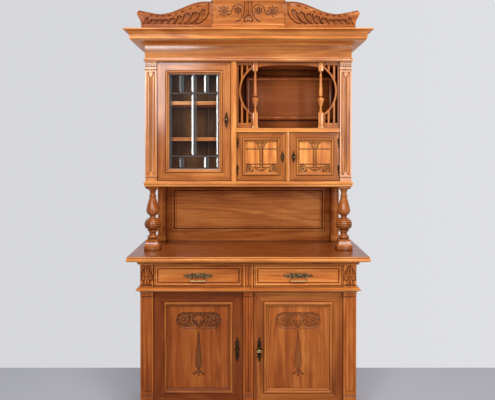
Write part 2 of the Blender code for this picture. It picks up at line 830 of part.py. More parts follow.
def column_profile(z0, z1):
    """Radius and height of the turned column, from its collar up to its neck, over the given span."""
    span = z1 - z0
    foot = [
        (COLUMN_COLLAR_R * 0.93, 0.0),
        (COLUMN_COLLAR_R, 0.035),
        (COLUMN_COLLAR_R, 0.055),
        (COLUMN_WAIST_R, 0.075),
        (COLUMN_WAIST_R, 0.110),
        (COLUMN_RING_R, 0.135),
        (COLUMN_RING_R, 0.165),
        (COLUMN_RING_R * 0.81, 0.180),
    ]
    bulb = arc((COLUMN_BULB_R * 0.42, 0.285), COLUMN_BULB_R * 0.58, 0.105, -78, 78, 8)
    vase = [
        (COLUMN_NECK_R, 0.415),
        (COLUMN_NECK_R, 0.440),
        (COLUMN_VASE_R * 0.87, 0.500),
        (COLUMN_VASE_R, 0.540),
        (COLUMN_VASE_R * 0.90, 0.610),
        (COLUMN_BEAD_R, 0.760),
    ]
    neck = [
        (COLUMN_NECK_R * 0.9, 0.825),
        (COLUMN_BEAD_R, 0.845),
        (COLUMN_BEAD_R, 0.865),
        (COLUMN_NECK_R, 0.885),
        (COLUMN_NECK_R * 1.06, 0.960),
        (COLUMN_COLLAR_R * 0.93, 1.0),
    ]
    return [(r, z0 + span * share) for r, share in foot + bulb + vase + neck]


def build_columns():
    y = HUTCH_FRONT + COLUMN_SETBACK
    for name, side in (("left", -1), ("right", 1)):
        x = side * (HUTCH_HALF - COLUMN_FROM_SIDE)
        low = TOP_Z + GAP
        high = GALLERY_TOP - GAP
        foot_top = low + COLUMN_PLINTH_H
        half = COLUMN_PLINTH_W / 2
        small = COLUMN_BLOCK_W / 2
        foot = stacked(
            [
                rect_xy(x - half, x + half, y - half, y + half, low),
                rect_xy(x - half, x + half, y - half, y + half, foot_top),
                rect_xy(x - small, x + small, y - small, y + small, foot_top + COLUMN_PLINTH_H * 0.25),
                rect_xy(x - small, x + small, y - small, y + small, foot_top + COLUMN_PLINTH_H),
            ]
        )
        wide = COLUMN_ABACUS_W / 2
        neck = wide - COLUMN_ABACUS_FLARE
        neck_z = high - COLUMN_ABACUS_H
        abacus = stacked(
            [
                rect_xy(x - neck, x + neck, y - neck, y + neck, neck_z),
                rect_xy(x - wide, x + wide, y - wide, y + wide, high - COLUMN_ABACUS_FLARE),
                rect_xy(x - wide, x + wide, y - wide, y + wide, high),
            ]
        )
        shaft = turned(
            column_profile(foot_top + COLUMN_PLINTH_H - GAP * 2, neck_z + GAP * 2),
            (x, y, 0),
            COLUMN_SIDES,
        )
        piece("gallery_column_" + name, fused(shaft, foot, abacus), WALNUT, smooth=True)


# Upper cabinet


def glass_pivot_x():
    return -PILASTER_INNER + DOOR_GAP + PIVOT_FROM_EDGE


def build_hutch_boards():
    p = HUTCH_FLOOR_PROUD
    t = HUTCH_FLOOR_T
    edge = [(p * 0.2, 0), (p * 0.7, t * 0.15), (p, t * 0.35), (p, t * 0.55), (p * 0.5, t * 0.7), (0, t)]
    layers = [(out, GALLERY_TOP + rise) for out, rise in edge]
    floor = stacked(moulded_slab(HUTCH_HALF, HUTCH_FRONT, BACK, layers))
    pin = (glass_pivot_x(), UPPER_DOOR_FACE + PIVOT_FROM_FACE, HUTCH_FLOOR_Z)
    bore = rod(pin, PIVOT_R + GAP, -PIVOT_LENGTH - GAP, CUT_OVER)
    piece("hutch_floor", carved(floor, bore), WALNUT)
    z0 = HUTCH_FLOOR_Z + GAP
    z1 = FRIEZE_Z - GAP
    back = INNER_BACK - GAP
    for name, side in (("left", -1), ("right", 1)):
        outer = side * HUTCH_HALF
        inner = side * (HUTCH_HALF - SIDE_T)
        front = HUTCH_FRONT + PILASTER_D + GAP
        board = sunk_board(outer, inner, SIDE_PANEL_MARGIN, SIDE_PANEL_MARGIN, front, back, z0, z1)
        piece("hutch_side_" + name, board, WALNUT)
    piece("hutch_back", block(-HUTCH_HALF, HUTCH_HALF, INNER_BACK, BACK, z0, z1), INNER_PINE)
    board = PARTITION_T / 2
    stile_back = HUTCH_FRONT + STILE_D
    outline = [
        (STILE_LEFT, HUTCH_FRONT + REED_RISE),
        (PARTITION_X - board, HUTCH_FRONT),
        (PARTITION_X + board, HUTCH_FRONT),
        (STILE_RIGHT, HUTCH_FRONT + REED_RISE),
        (STILE_RIGHT, stile_back),
        (PARTITION_X + board, stile_back),
        (PARTITION_X + board, back),
        (PARTITION_X - board, back),
        (PARTITION_X - board, stile_back),
        (STILE_LEFT, stile_back),
    ]
    piece("partition", upright(outline, z0, z1), WALNUT)


def build_hutch_shelves():
    back = INNER_BACK - GAP
    side_in = HUTCH_HALF - SIDE_T - GAP
    board = PARTITION_X + PARTITION_T / 2 + GAP
    behind_stile = HUTCH_FRONT + STILE_D + GAP
    behind_pilaster = HUTCH_FRONT + PILASTER_D + GAP
    front = HUTCH_FRONT + REED_RISE
    outline = [
        (STILE_RIGHT + GAP, front),
        (PILASTER_INNER - GAP, front),
        (PILASTER_INNER - GAP, behind_pilaster),
        (side_in, behind_pilaster),
        (side_in, back),
        (board, back),
        (board, behind_stile),
        (STILE_RIGHT + GAP, behind_stile),
    ]
    piece("niche_floor", upright(outline, NICHE_UNDER, NICHE_FLOOR_Z), WALNUT)
    left = -side_in
    right = PARTITION_X - PARTITION_T / 2 - GAP
    shelf_front = UPPER_DOOR_FACE + UPPER_SHELF_SETBACK
    for name, z in zip(("lower", "upper"), UPPER_SHELF_Z):
        shelf = block(left, right, shelf_front, back, z - SHELF_T, z)
        piece("glass_door_shelf_" + name, shelf, INNER_PINE)
    half = MULLION_W / 2
    z0 = HUTCH_FLOOR_Z + GAP
    outline = [
        (NICHE_MIDDLE - half, front + REED_RISE),
        *[(x, y) for x, y in arc((NICHE_MIDDLE, front + REED_RISE), half * 0.7, -REED_RISE, 180, 0, 6)],
        (NICHE_MIDDLE + half, front + REED_RISE),
        (NICHE_MIDDLE + half, front + MULLION_D),
        (NICHE_MIDDLE - half, front + MULLION_D),
    ]
    piece("small_door_mullion", upright(outline, z0, NICHE_UNDER - GAP), WALNUT)


def flute(x, face, z0, z1):
    """A long hollow with pointed ends, as a cutter for a flat face."""
    half = FLUTE_W / 2
    rings = []
    for z, share in ((z0, 0.05), (z0 + FLUTE_POINT_H, 1), (z1 - FLUTE_POINT_H, 1), (z1, 0.05)):
        wide = half * share
        hollow = arc((x, face), wide, FLUTE_DEPTH * share, 0, 180, 6)
        mouth = [(x - wide, face - CUT_OVER), (x + wide, face - CUT_OVER)]
        rings.append([(px, py, z) for px, py in hollow + mouth])
    return stacked(rings)


def build_pilasters():
    z0 = HUTCH_FLOOR_Z + GAP
    z1 = FRIEZE_Z - GAP
    step = PILASTER_STEP
    low = z0 + PILASTER_FOOT_H
    high = z1 - PILASTER_CAP_H
    front = [(0, z0), (0, z0 + PILASTER_FOOT_H * 0.7), (step, low), (step, high)]
    front += [(0, high + PILASTER_CAP_H * 0.12), (0, high + PILASTER_CAP_H * 0.45)]
    front += [(step * 1.5, high + PILASTER_CAP_H * 0.50), (step * 1.5, high + PILASTER_CAP_H * 0.66)]
    front += [(0, high + PILASTER_CAP_H * 0.72), (0, z1)]
    back = HUTCH_FRONT + PILASTER_D
    for name, side in (("left", -1), ("right", 1)):
        x0, x1 = sorted((side * HUTCH_HALF, side * PILASTER_INNER))
        post = stacked([rect_xy(x0, x1, HUTCH_FRONT + inset, back, z) for inset, z in front])
        middle = (x0 + x1) / 2
        reach = (FLUTE_W + FLUTE_RIDGE_W) / 2
        flutes = [
            flute(x, HUTCH_FRONT + step, low + FLUTE_FROM_END, high - FLUTE_FROM_END)
            for x in (middle - reach, middle + reach)
        ]
        piece("hutch_pilaster_" + name, carved(post, *flutes), WALNUT)


def build_crown():
    p = FRIEZE_BEAD_PROUD
    top = CORNICE_Z
    layers = [(p * 0.3, 0), (p, FRIEZE_BEAD_H * 0.3), (p, FRIEZE_BEAD_H * 0.8), (0, FRIEZE_BEAD_H)]
    rings = moulded_slab(HUTCH_HALF, HUTCH_FRONT, BACK, [(out, FRIEZE_Z + up) for out, up in layers])
    rings += moulded_slab(HUTCH_HALF, HUTCH_FRONT, BACK, [(0, top - GAP)])
    pocket = (
        -HUTCH_HALF + FRIEZE_WALL,
        HUTCH_HALF - FRIEZE_WALL,
        HUTCH_FRONT + FRIEZE_WALL,
        BACK - FRIEZE_WALL,
    )
    rings.append(rect_xy(*pocket, top - GAP))
    rings.append(rect_xy(*pocket, FRIEZE_Z + SHELF_T))
    pin = (glass_pivot_x(), UPPER_DOOR_FACE + PIVOT_FROM_FACE, FRIEZE_Z)
    bore = rod(pin, PIVOT_R + GAP, -CUT_OVER, PIVOT_LENGTH + GAP)
    piece("frieze", carved(stacked(rings), bore), WALNUT)
    fascia = CORNICE_FASCIA_PROUD
    fascia_z = top + CORNICE_COVE_H
    rim_z = fascia_z + CORNICE_FASCIA_H
    cove = arc((fascia, top), -fascia, CORNICE_COVE_H, 0, 90, 5)
    crown_h = CREST_Z - rim_z
    crown = arc((CORNICE_PROUD, rim_z), -(CORNICE_PROUD - fascia), crown_h * 0.8, 0, 90, 4)
    layers = [*cove, *crown, (CORNICE_PROUD, CREST_Z)]
    rings = [rect_xy(*pocket, CREST_Z - CORNICE_TOP_T), rect_xy(*pocket, top)]
    rings += moulded_slab(HUTCH_HALF, HUTCH_FRONT, BACK, layers)
    piece("cornice", stacked(rings), WALNUT)


def build_crest():
    y0 = HUTCH_FRONT - CORNICE_PROUD + CREST_FROM_CORNICE_FRONT
    z0 = CREST_Z + GAP
    top = CREST_Z + CREST_H
    half = TABLET_W / 2
    wide = half + TABLET_PROUD
    face = y0 - TABLET_FACE_PROUD
    tablet = block(-half, half, face, y0 + CREST_T, z0, top - TABLET_CAP_H / 2)
    foot = block(-wide, wide, y0 - TABLET_PROUD, y0 - GAP, z0, z0 + TABLET_FOOT_H)
    cap = block(-wide, wide, y0 - TABLET_PROUD, y0 + CREST_T - GAP, top - TABLET_CAP_H, top)
    piece("crest_tablet", fused(tablet, foot, cap), WALNUT)
    inner = half + GAP
    outer = HUTCH_HALF + CORNICE_PROUD - WING_END_INSET
    for name, side in (("left", -1), ("right", 1)):
        outline = [(side * x, z0 + h) for x, h in wing_outline(inner, outer)]
        wing = cut_out(outline, y0, y0 + WING_T)
        piece("crest_wing_" + name, wing, WALNUT)


def wing_outline(inner, outer):
    """Outline of a crest wing: a shoulder by the tablet, a long dip and a horn at the end."""
    reach = outer - inner
    shoulder = inner + reach * 0.10
    valley = inner + reach * 0.70
    horn = outer - reach * 0.04
    fall = WING_INNER_H - WING_VALLEY_H
    rise = WING_HORN_H - WING_VALLEY_H
    points = [(inner, 0), (inner, WING_INNER_H)]
    steps = 8
    for i in range(steps + 1):
        share = i / steps
        drop = (1 - math.cos(math.pi * share)) / 2
        points.append((shoulder + (valley - shoulder) * share, WING_INNER_H - fall * drop))
    points += [(valley + (horn - valley) * 0.5, WING_VALLEY_H + rise * 0.35), (horn, WING_HORN_H)]
    points += arc((outer - reach * 0.05, WING_HORN_H * 0.85), reach * 0.05, WING_HORN_H * 0.12, 60, -60, 4)
    points += [(outer - WING_FOOT_IN * 0.8, WING_HORN_H * 0.5), (outer - WING_FOOT_IN, 0)]
    return points


# Niche screen


def build_niche_screen():
    y = HUTCH_FRONT + SCREEN_SETBACK + SPINDLE_BLOCK_W / 2
    z0 = NICHE_FLOOR_Z + GAP
    z1 = FRIEZE_Z - GAP
    half = SPINDLE_BLOCK_W / 2
    for name, side, wall in (("left", -1, STILE_RIGHT), ("right", 1, PILASTER_INNER)):
        x = wall - side * (FRET_W + half)
        piece("niche_spindle_" + name, spindle(x, y, z0, z1), WALNUT, smooth=True)
        fret_screen("niche_fret_" + name, wall - side * GAP, x + side * (half + GAP), y, z0, z1)
    reach = PILASTER_INNER - NICHE_MIDDLE - FRET_W - SPINDLE_BLOCK_W - GAP
    rise = VALANCE_END_H - VALANCE_MIDDLE_H
    arch = arc((NICHE_MIDDLE, z1 - VALANCE_END_H), reach, rise, 0, 180, 12)
    outline = [(NICHE_MIDDLE - reach, z1), (NICHE_MIDDLE + reach, z1), *arch]
    valance = cut_out(outline, y - SCREEN_T / 2, y + SCREEN_T / 2)
    piece("niche_valance", valance, WALNUT)


def spindle(x, y, z0, z1):
    """A small turned column with square blocks at its ends."""
    half = SPINDLE_BLOCK_W / 2
    foot = SPINDLE_FOOT_W / 2
    low = z0 + SPINDLE_LOWER_H - SPINDLE_FOOT_H / 4
    high = z1 - SPINDLE_UPPER_H + SPINDLE_FOOT_H / 4
    span = high - low
    shape = [
        (SPINDLE_SHAFT_R, 0.0),
        (SPINDLE_SHAFT_R, 0.012),
        (SPINDLE_CUP_R, 0.032),
        (SPINDLE_CUP_R, 0.060),
        (SPINDLE_NECK_R, 0.100),
        (SPINDLE_BEAD_R, 0.122),
        (SPINDLE_NECK_R * 0.9, 0.155),
        (SPINDLE_BEAD_R * 0.9, 0.215),
        (SPINDLE_BULB_R * 0.85, 0.310),
        (SPINDLE_BULB_R, 0.355),
        (SPINDLE_BULB_R * 0.77, 0.395),
        (SPINDLE_BEAD_R, 0.408),
        (SPINDLE_SHAFT_R * 1.15, 0.420),
        (SPINDLE_SHAFT_R, 0.440),
        (SPINDLE_SHAFT_R, 0.500),
        (SPINDLE_TOP_R, 0.895),
        (SPINDLE_BEAD_R, 0.915),
        (SPINDLE_BEAD_R, 0.935),
        (SPINDLE_TOP_R, 0.955),
        (SPINDLE_SHAFT_R, 1.0),
    ]
    shaft = turned([(r, low + span * share) for r, share in shape], (x, y, 0), SPINDLE_SIDES)
    square = (x - half, x + half, y - half, y + half)
    base = block(x - foot, x + foot, y - foot, y + foot, z0, z0 + SPINDLE_FOOT_H)
    lower = block(*square, z0 + SPINDLE_FOOT_H / 2, z0 + SPINDLE_LOWER_H)
    upper = block(*square, z1 - SPINDLE_UPPER_H, z1)
    return fused(shaft, base, lower, upper)


def fret_screen(name, wall, post, y, z0, z1):
    """A pierced screen: a bowed band between two rails, with upright bars above and below it."""
    side = 1 if wall > post else -1
    y0 = y - SCREEN_T / 2
    y1 = y + SCREEN_T / 2
    x0, x1 = sorted((wall, post))
    low = z0 + FRET_ARC_FROM_FLOOR
    high = z1 - FRET_ARC_FROM_TOP
    half_chord = (high - low) / 2
    radius = (FRET_ARC_REACH**2 + half_chord**2) / (2 * FRET_ARC_REACH)
    centre = (post - side * (radius - FRET_ARC_REACH), (low + high) / 2)
    swing = math.degrees(math.atan2(half_chord, radius - FRET_ARC_REACH))
    start = 0 if side > 0 else 180
    large = radius + FRET_BAND / 2
    small = radius - FRET_BAND / 2
    outline = arc(centre, large, large, start - swing, start + swing, FRET_ARC_STEPS)
    outline += arc(centre, small, small, start + swing, start - swing, FRET_ARC_STEPS)
    band = trimmed(cut_out(outline, y0, y1), wall, post)
    rail_z = z0 + SPINDLE_FOOT_H + GAP
    strip_end = post + side * (SPINDLE_FOOT_W - SPINDLE_BLOCK_W) / 2
    parts = [
        block(*sorted((wall, strip_end)), y0 - FRET_BAND / 2, y1, z0, rail_z + GAP),
        block(x0, x1, y0, y1, rail_z, rail_z + FRET_RAIL_H),
        block(x0, x1, y0, y1, z1 - FRET_RAIL_H, z1),
        block(*sorted((wall, wall - side * FRET_BAR_W)), y0, y1, z0, z1),
    ]
    room = abs(wall - post)
    half_bar = FRET_BAR_W / 2
    for x in (wall - side * room / 3, wall - side * room * 2 / 3, post + side * half_bar):
        rise = math.sqrt(radius**2 - (x - centre[0]) ** 2)
        parts.append(block(x - half_bar, x + half_bar, y0, y1, centre[1] + rise, z1 - FRET_RAIL_H / 2))
        parts.append(block(x - half_bar, x + half_bar, y0, y1, rail_z + FRET_RAIL_H / 2, centre[1] - rise))
    piece(name, fused(band, *parts), WALNUT)


def trimmed(bm, wall, post):
    """Cuts a band off square at the post's side."""
    far = post + (post - wall)
    x0, x1 = sorted((post, far))
    cutter = block(x0, x1, HUTCH_FRONT - STILE_D, BACK, NICHE_FLOOR_Z, FRIEZE_Z)
    return carved(bm, cutter)


# Upper doors


def build_glass_door():
    x0 = -PILASTER_INNER + DOOR_GAP
    x1 = STILE_LEFT - DOOR_GAP
    z0 = HUTCH_FLOOR_Z + DOOR_GAP
    z1 = FRIEZE_Z - DOOR_GAP
    face = UPPER_DOOR_FACE
    pivot_x = glass_pivot_x()
    axis = joint_axis("glass_door_axis", (pivot_x, face + PIVOT_FROM_FACE, z0))
    section = frame_section(GLASS_FRAME_W, GLASS_FRAME_T, GLASS_T)
    lock_x = x1 - GLASS_FRAME_W / 2
    lock_z = HUTCH_FLOOR_Z + GLASS_KEY_FROM_FLOOR
    frame = mitred_frame(x0, x1, z0, z1, face, section)
    frame = fused(frame, lock_case(lock_x, lock_z, face, GLASS_FRAME_T), *pivots(pivot_x, face, z0, z1))
    frame = carved(frame, key_bore(lock_x, lock_z, face, GLASS_FRAME_T))
    piece("glass_door_frame", frame, WALNUT, axis)
    piece("glass_pane", framed_panel(x0, x1, z0, z1, face, GLASS_FRAME_W, GLASS_T), GLASS, axis)
    inset = GLASS_FRAME_W + BEAD_W + GAP
    lattice = came_lattice(x0 + inset, x1 - inset, z0 + inset, z1 - inset, face + PANEL_SINK - GAP)
    piece("came_lattice", lattice, LEAD, axis)
    build_key("glass_door_key", lock_x, lock_z, face, GLASS_FRAME_T, axis)


def came_lattice(x0, x1, z0, z1, back):
    """Lead cames on the pane: four lights above, two tall ones in the middle and three below."""
    front = back - CAME_T
    w = CAME_W
    width = x1 - x0
    upper = z1 - UPPER_LIGHTS_H
    lower = z0 + LOWER_LIGHTS_H
    border = [(0, front), (w, front), (w, back), (0, back)]
    rings = [inset_xz((x0, x1, z0, z1), inset, y) for inset, y in border]
    bars = [
        block(x0 + w / 2, x1 - w / 2, front, back, upper - w / 2, upper + w / 2),
        block(x0 + w / 2, x1 - w / 2, front, back, lower - w / 2, lower + w / 2),
        came_upright(x0 + width / 2, front, back, lower, upper),
    ]
    for i in (1, 2, 3):
        bars.append(came_upright(x0 + width * i / 4, front, back, upper, z1 - w / 2))
    for i in (1, 3):
        bars.append(came_upright(x0 + width * i / 4, front, back, z0 + w / 2, lower))
    return fused(stacked(rings, endless=True), *bars)


def came_upright(x, front, back, z0, z1):
    return block(x - CAME_W / 2, x + CAME_W / 2, front, back, z0, z1)


def build_small_doors():
    z0 = HUTCH_FLOOR_Z + DOOR_GAP
    z1 = NICHE_UNDER - DOOR_GAP
    face = UPPER_DOOR_FACE
    spans = {
        "left": (-1, STILE_RIGHT, NICHE_MIDDLE - MULLION_W / 2),
        "right": (1, PILASTER_INNER, NICHE_MIDDLE + MULLION_W / 2),
    }
    section = frame_section(SMALL_FRAME_W, SMALL_FRAME_T, PANEL_T)
    lock_z = NICHE_UNDER - SMALL_KEY_FROM_SHELF
    for name, (side, wall, meeting) in spans.items():
        hinge_edge = wall - side * HINGE_GAP
        free_edge = meeting + side * DOOR_GAP
        x0, x1 = sorted((hinge_edge, free_edge))
        axis_x = wall - side * (KNUCKLE_R + GAP)
        axis_y = face - KNUCKLE_R - GAP
        axis = joint_axis("small_" + name + "_door_axis", (axis_x, axis_y, z0))
        lock_x = free_edge + side * SMALL_FRAME_W / 2
        frame = mitred_frame(x0, x1, z0, z1, face, section)
        parts = [lock_case(lock_x, lock_z, face, SMALL_FRAME_T)]
        for place, z in (("lower", z0 + HINGE_FROM_END), ("upper", z1 - HINGE_FROM_END)):
            parts.append(door_knuckle(axis_x, axis_y, z, face, side))
            hinge = case_hinge(axis_x, axis_y, z, wall, face, side)
            piece("small_" + name + "_hinge_" + place, hinge, BRONZE, smooth=True)
        frame = carved(fused(frame, *parts), key_bore(lock_x, lock_z, face, SMALL_FRAME_T))
        piece("small_" + name + "_frame", frame, WALNUT, axis)
        panel = framed_panel(x0, x1, z0, z1, face, SMALL_FRAME_W, PANEL_T)
        piece("small_" + name + "_panel", panel, PANEL_WALNUT, axis)
        if side > 0:
            build_key("small_door_key", lock_x, lock_z, face, SMALL_FRAME_T, axis)


def door_knuckle(x, y, z, face, side):
    """The upper knuckle of a hinge with the strap that holds it to the door."""
    high = HINGE_LENGTH / 2
    bore = HINGE_PIN_R + GAP
    profile = [(bore, GAP), (KNUCKLE_R, GAP), (KNUCKLE_R, high), (bore, high)]
    ring = turned(profile, (x, y, z), KNUCKLE_SIDES, endless=True)
    near = x - side * (bore + GAP * 2)
    far = x - side * KNUCKLE_R * 2
    strap = block(*sorted((near, far)), y, face + STRAP_DEPTH, z + GAP, z + high)
    clear = rod((x, y, z), bore, -GAP, high + GAP, KNUCKLE_SIDES)
    return fused(ring, carved(strap, clear))


def case_hinge(x, y, z, wall, face, side):
    """The lower knuckle of a hinge with its pin, and the leaf that lies on the post."""
    high = HINGE_LENGTH / 2
    profile = [(KNUCKLE_R, -high), (KNUCKLE_R, -GAP), (HINGE_PIN_R, -GAP), (HINGE_PIN_R, high - GAP)]
    knuckle = turned(profile, (x, y, z), KNUCKLE_SIDES)
    near = wall - side * GAP
    far = wall - side * (HINGE_GAP - GAP * 2)
    leaf = block(*sorted((near, far)), y, face + LEAF_DEPTH, z - high, z - GAP * 2)
    return fused(knuckle, leaf)


def main():
    clear_scene()
    build_plinth()
    build_lower_boards()
    build_drawer_deck()
    build_waist_moulding()
    build_front_posts()
    build_buffet_top()
    build_lower_doors()
    build_drawers()
    build_gallery_back()
    build_columns()
    build_hutch_boards()
    build_hutch_shelves()
    build_pilasters()
    build_crown()
    build_crest()
    build_niche_screen()
    build_glass_door()
    build_small_doors()


main()
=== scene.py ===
"""Dresses the buffet cabinet on its measured frame: carving, turnings, mouldings, fittings and finishes."""

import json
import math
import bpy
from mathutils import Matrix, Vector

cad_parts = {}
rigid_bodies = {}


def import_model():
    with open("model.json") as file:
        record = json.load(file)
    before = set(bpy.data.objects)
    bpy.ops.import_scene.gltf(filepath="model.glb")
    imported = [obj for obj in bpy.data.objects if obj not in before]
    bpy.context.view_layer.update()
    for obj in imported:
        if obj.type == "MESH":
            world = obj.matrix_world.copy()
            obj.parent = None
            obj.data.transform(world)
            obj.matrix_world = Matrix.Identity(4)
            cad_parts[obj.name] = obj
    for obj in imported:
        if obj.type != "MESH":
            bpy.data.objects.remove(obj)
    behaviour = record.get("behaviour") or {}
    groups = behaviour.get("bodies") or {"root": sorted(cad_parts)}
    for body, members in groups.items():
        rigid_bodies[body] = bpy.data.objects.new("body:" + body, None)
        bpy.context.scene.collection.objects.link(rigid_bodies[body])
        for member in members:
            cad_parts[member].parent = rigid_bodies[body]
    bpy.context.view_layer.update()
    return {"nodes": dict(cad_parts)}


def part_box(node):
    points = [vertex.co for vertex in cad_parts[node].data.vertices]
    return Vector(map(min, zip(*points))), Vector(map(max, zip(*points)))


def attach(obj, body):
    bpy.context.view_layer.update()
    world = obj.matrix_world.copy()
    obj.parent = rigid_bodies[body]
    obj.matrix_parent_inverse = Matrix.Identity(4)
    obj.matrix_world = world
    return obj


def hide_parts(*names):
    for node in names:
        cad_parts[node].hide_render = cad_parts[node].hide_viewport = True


bl_info = {
    "name": "Buffet Cabinet",
    "version": (1, 0, 0),
    "blender": (4, 5, 0),
    "location": "View3D > Sidebar > Buffet",
    "description": "Builds the visible buffet cabinet and its stage on the measured frame",
    "category": "Add Mesh",
}

import bmesh
import bpy
import numpy as np
from bpy.props import FloatProperty, FloatVectorProperty, PointerProperty
from mathutils import Matrix, Vector

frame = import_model()
SIDES = (("left", -1), ("right", 1))


def length(name, description, default):
    return FloatProperty(name=name, description=description, default=default, unit="LENGTH", precision=5)


def power(name, default):
    return FloatProperty(name=name, description="Power in watts", default=default, subtype="POWER")


def colour(name, description, default):
    return FloatVectorProperty(
        name=name, description=description, default=default, subtype="COLOR", size=3, min=0, max=1
    )


class BuffetSizes(bpy.types.PropertyGroup):
    """Sizes of the visible pieces."""

    gap: length("Gap", "Clearance between pieces that touch", 0.0003)
    ease: length("Eased edge", "Rounding of a sawn edge", 0.0012)
    carving_step: length("Carving step", "Distance between the points of a carved face", 0.0013)
    carving_depth: length("Carving depth", "Depth of the sunk ground of a carving", 0.0045)
    lower_frame: length("Lower stile", "Width of a lower door's stile up to its bead", 0.062)
    glass_frame: length("Glass door stile", "Width of the glass door's stile up to its bead", 0.048)
    small_frame: length("Small stile", "Width of a small door's stile up to its bead", 0.032)
    bead_width: length("Bead width", "Width of the bead round a door panel", 0.018)
    bead_rise: length("Bead rise", "How far a panel's bead stands proud", 0.006)
    panel_sink: length("Panel sink", "Depth of a panel behind its door's face", 0.008)
    groove: length("Groove", "How far a panel reaches into its frame", 0.010)
    reed_rise: length("Reed rise", "Height of the reeds on the front posts", 0.0026)
    post_foot: length("Post foot", "Height of a front post's foot", 0.060)
    post_cap: length("Post cap", "Height of a front post's cap", 0.025)
    post_margin: length("Post margin", "Flat strip beside the reeds of a front post", 0.012)
    glass_bevel: length("Glass bevel", "Width of the bevel round each light of the glass door", 0.0125)
    bevel_depth: length("Bevel depth", "Fall of the bevel round each light", 0.0033)
    upper_lights: length("Upper lights", "Height of the top row of lights", 0.107)
    lower_lights: length("Lower lights", "Height of the bottom row of lights", 0.072)
    plate: length("Plate", "Thickness of a key plate", 0.0016)


class BuffetColours(bpy.types.PropertyGroup):
    """Colours of the finishes."""

    walnut_light: colour("Light walnut", "Pale streaks of the polished wood", (0.74, 0.285, 0.070))
    walnut: colour("Walnut", "Main tone of the polished wood", (0.53, 0.165, 0.034))
    walnut_dark: colour("Dark walnut", "Dark rings and pores of the wood", (0.31, 0.080, 0.016))
    # The carving's dark colour: partly staining and dust in the grounds, partly painted shade in hollows and
    # grooves
    stain: colour("Carving stain", "Stain and dust in the sunk grounds of the carving", (0.085, 0.028, 0.011))
    inner_light: colour("Light inner wood", "Pale streaks of the unpolished boards", (0.56, 0.27, 0.10))
    inner: colour("Inner wood", "Main tone of the unpolished boards", (0.40, 0.175, 0.06))
    inner_dark: colour("Dark inner wood", "Dark rings of the unpolished boards", (0.24, 0.095, 0.032))
    brass: colour("Brass", "Rubbed brass of pulls and keys", (0.70, 0.50, 0.23))
    patina: colour("Patina", "Dark patina of the fittings", (0.060, 0.040, 0.020))
    lead: colour("Lead", "Grey of the cames", (0.13, 0.13, 0.135))
    glass: colour("Glass", "Tint of the panes", (0.10, 0.11, 0.115))


class BuffetStage(bpy.types.PropertyGroup):
    """Camera, floor and light."""

    distance: length("Distance", "Camera's distance in front of the origin", 3.32)
    height: length("Height", "Camera's height above the floor", 1.5335)
    pitch: FloatProperty(
        name="Pitch", description="How far the camera looks down", default=math.radians(0.7), subtype="ANGLE"
    )
    lens: FloatProperty(name="Lens", description="Focal length in millimetres", default=41.8, min=1)
    shift_x: FloatProperty(name="Shift x", description="Sideways shift of the picture", default=-0.0016)
    shift_y: FloatProperty(name="Shift y", description="Upward shift of the picture", default=-0.0929)
    wall_y: length("Wall", "Where the floor ends behind the origin", 0.655)
    right_box: power("Right soft box", 26)
    left_box: power("Left soft box", 42)
    ceiling: power("Ceiling light", 265)
    world: FloatProperty(name="Room light", description="Strength of the even light", default=0.09, min=0)
    wall: colour("Wall colour", "Colour of the pale wall behind the cabinet", (0.70, 0.705, 0.735))
    floor: colour("Floor colour", "Colour of the floor", (0.425, 0.43, 0.48))


def sizes():
    return bpy.context.scene.buffet_sizes


def colours():
    return bpy.context.scene.buffet_colours


# Shader expressions


class Value:
    """One output of a node tree. Arithmetic on it adds Math nodes."""

    def __init__(self, finish, socket):
        self.finish = finish
        self.socket = socket

    def __add__(self, other):
        return self.finish.math("ADD", self, other)

    def __radd__(self, other):
        return self.finish.math("ADD", other, self)

    def __sub__(self, other):
        return self.finish.math("SUBTRACT", self, other)

    def __rsub__(self, other):
        return self.finish.math("SUBTRACT", other, self)

    def __mul__(self, other):
        return self.finish.math("MULTIPLY", self, other)

    def __rmul__(self, other):
        return self.finish.math("MULTIPLY", other, self)

    def __gt__(self, other):
        return self.finish.math("GREATER_THAN", self, other)

    def __abs__(self):
        return self.finish.math("ABSOLUTE", self)


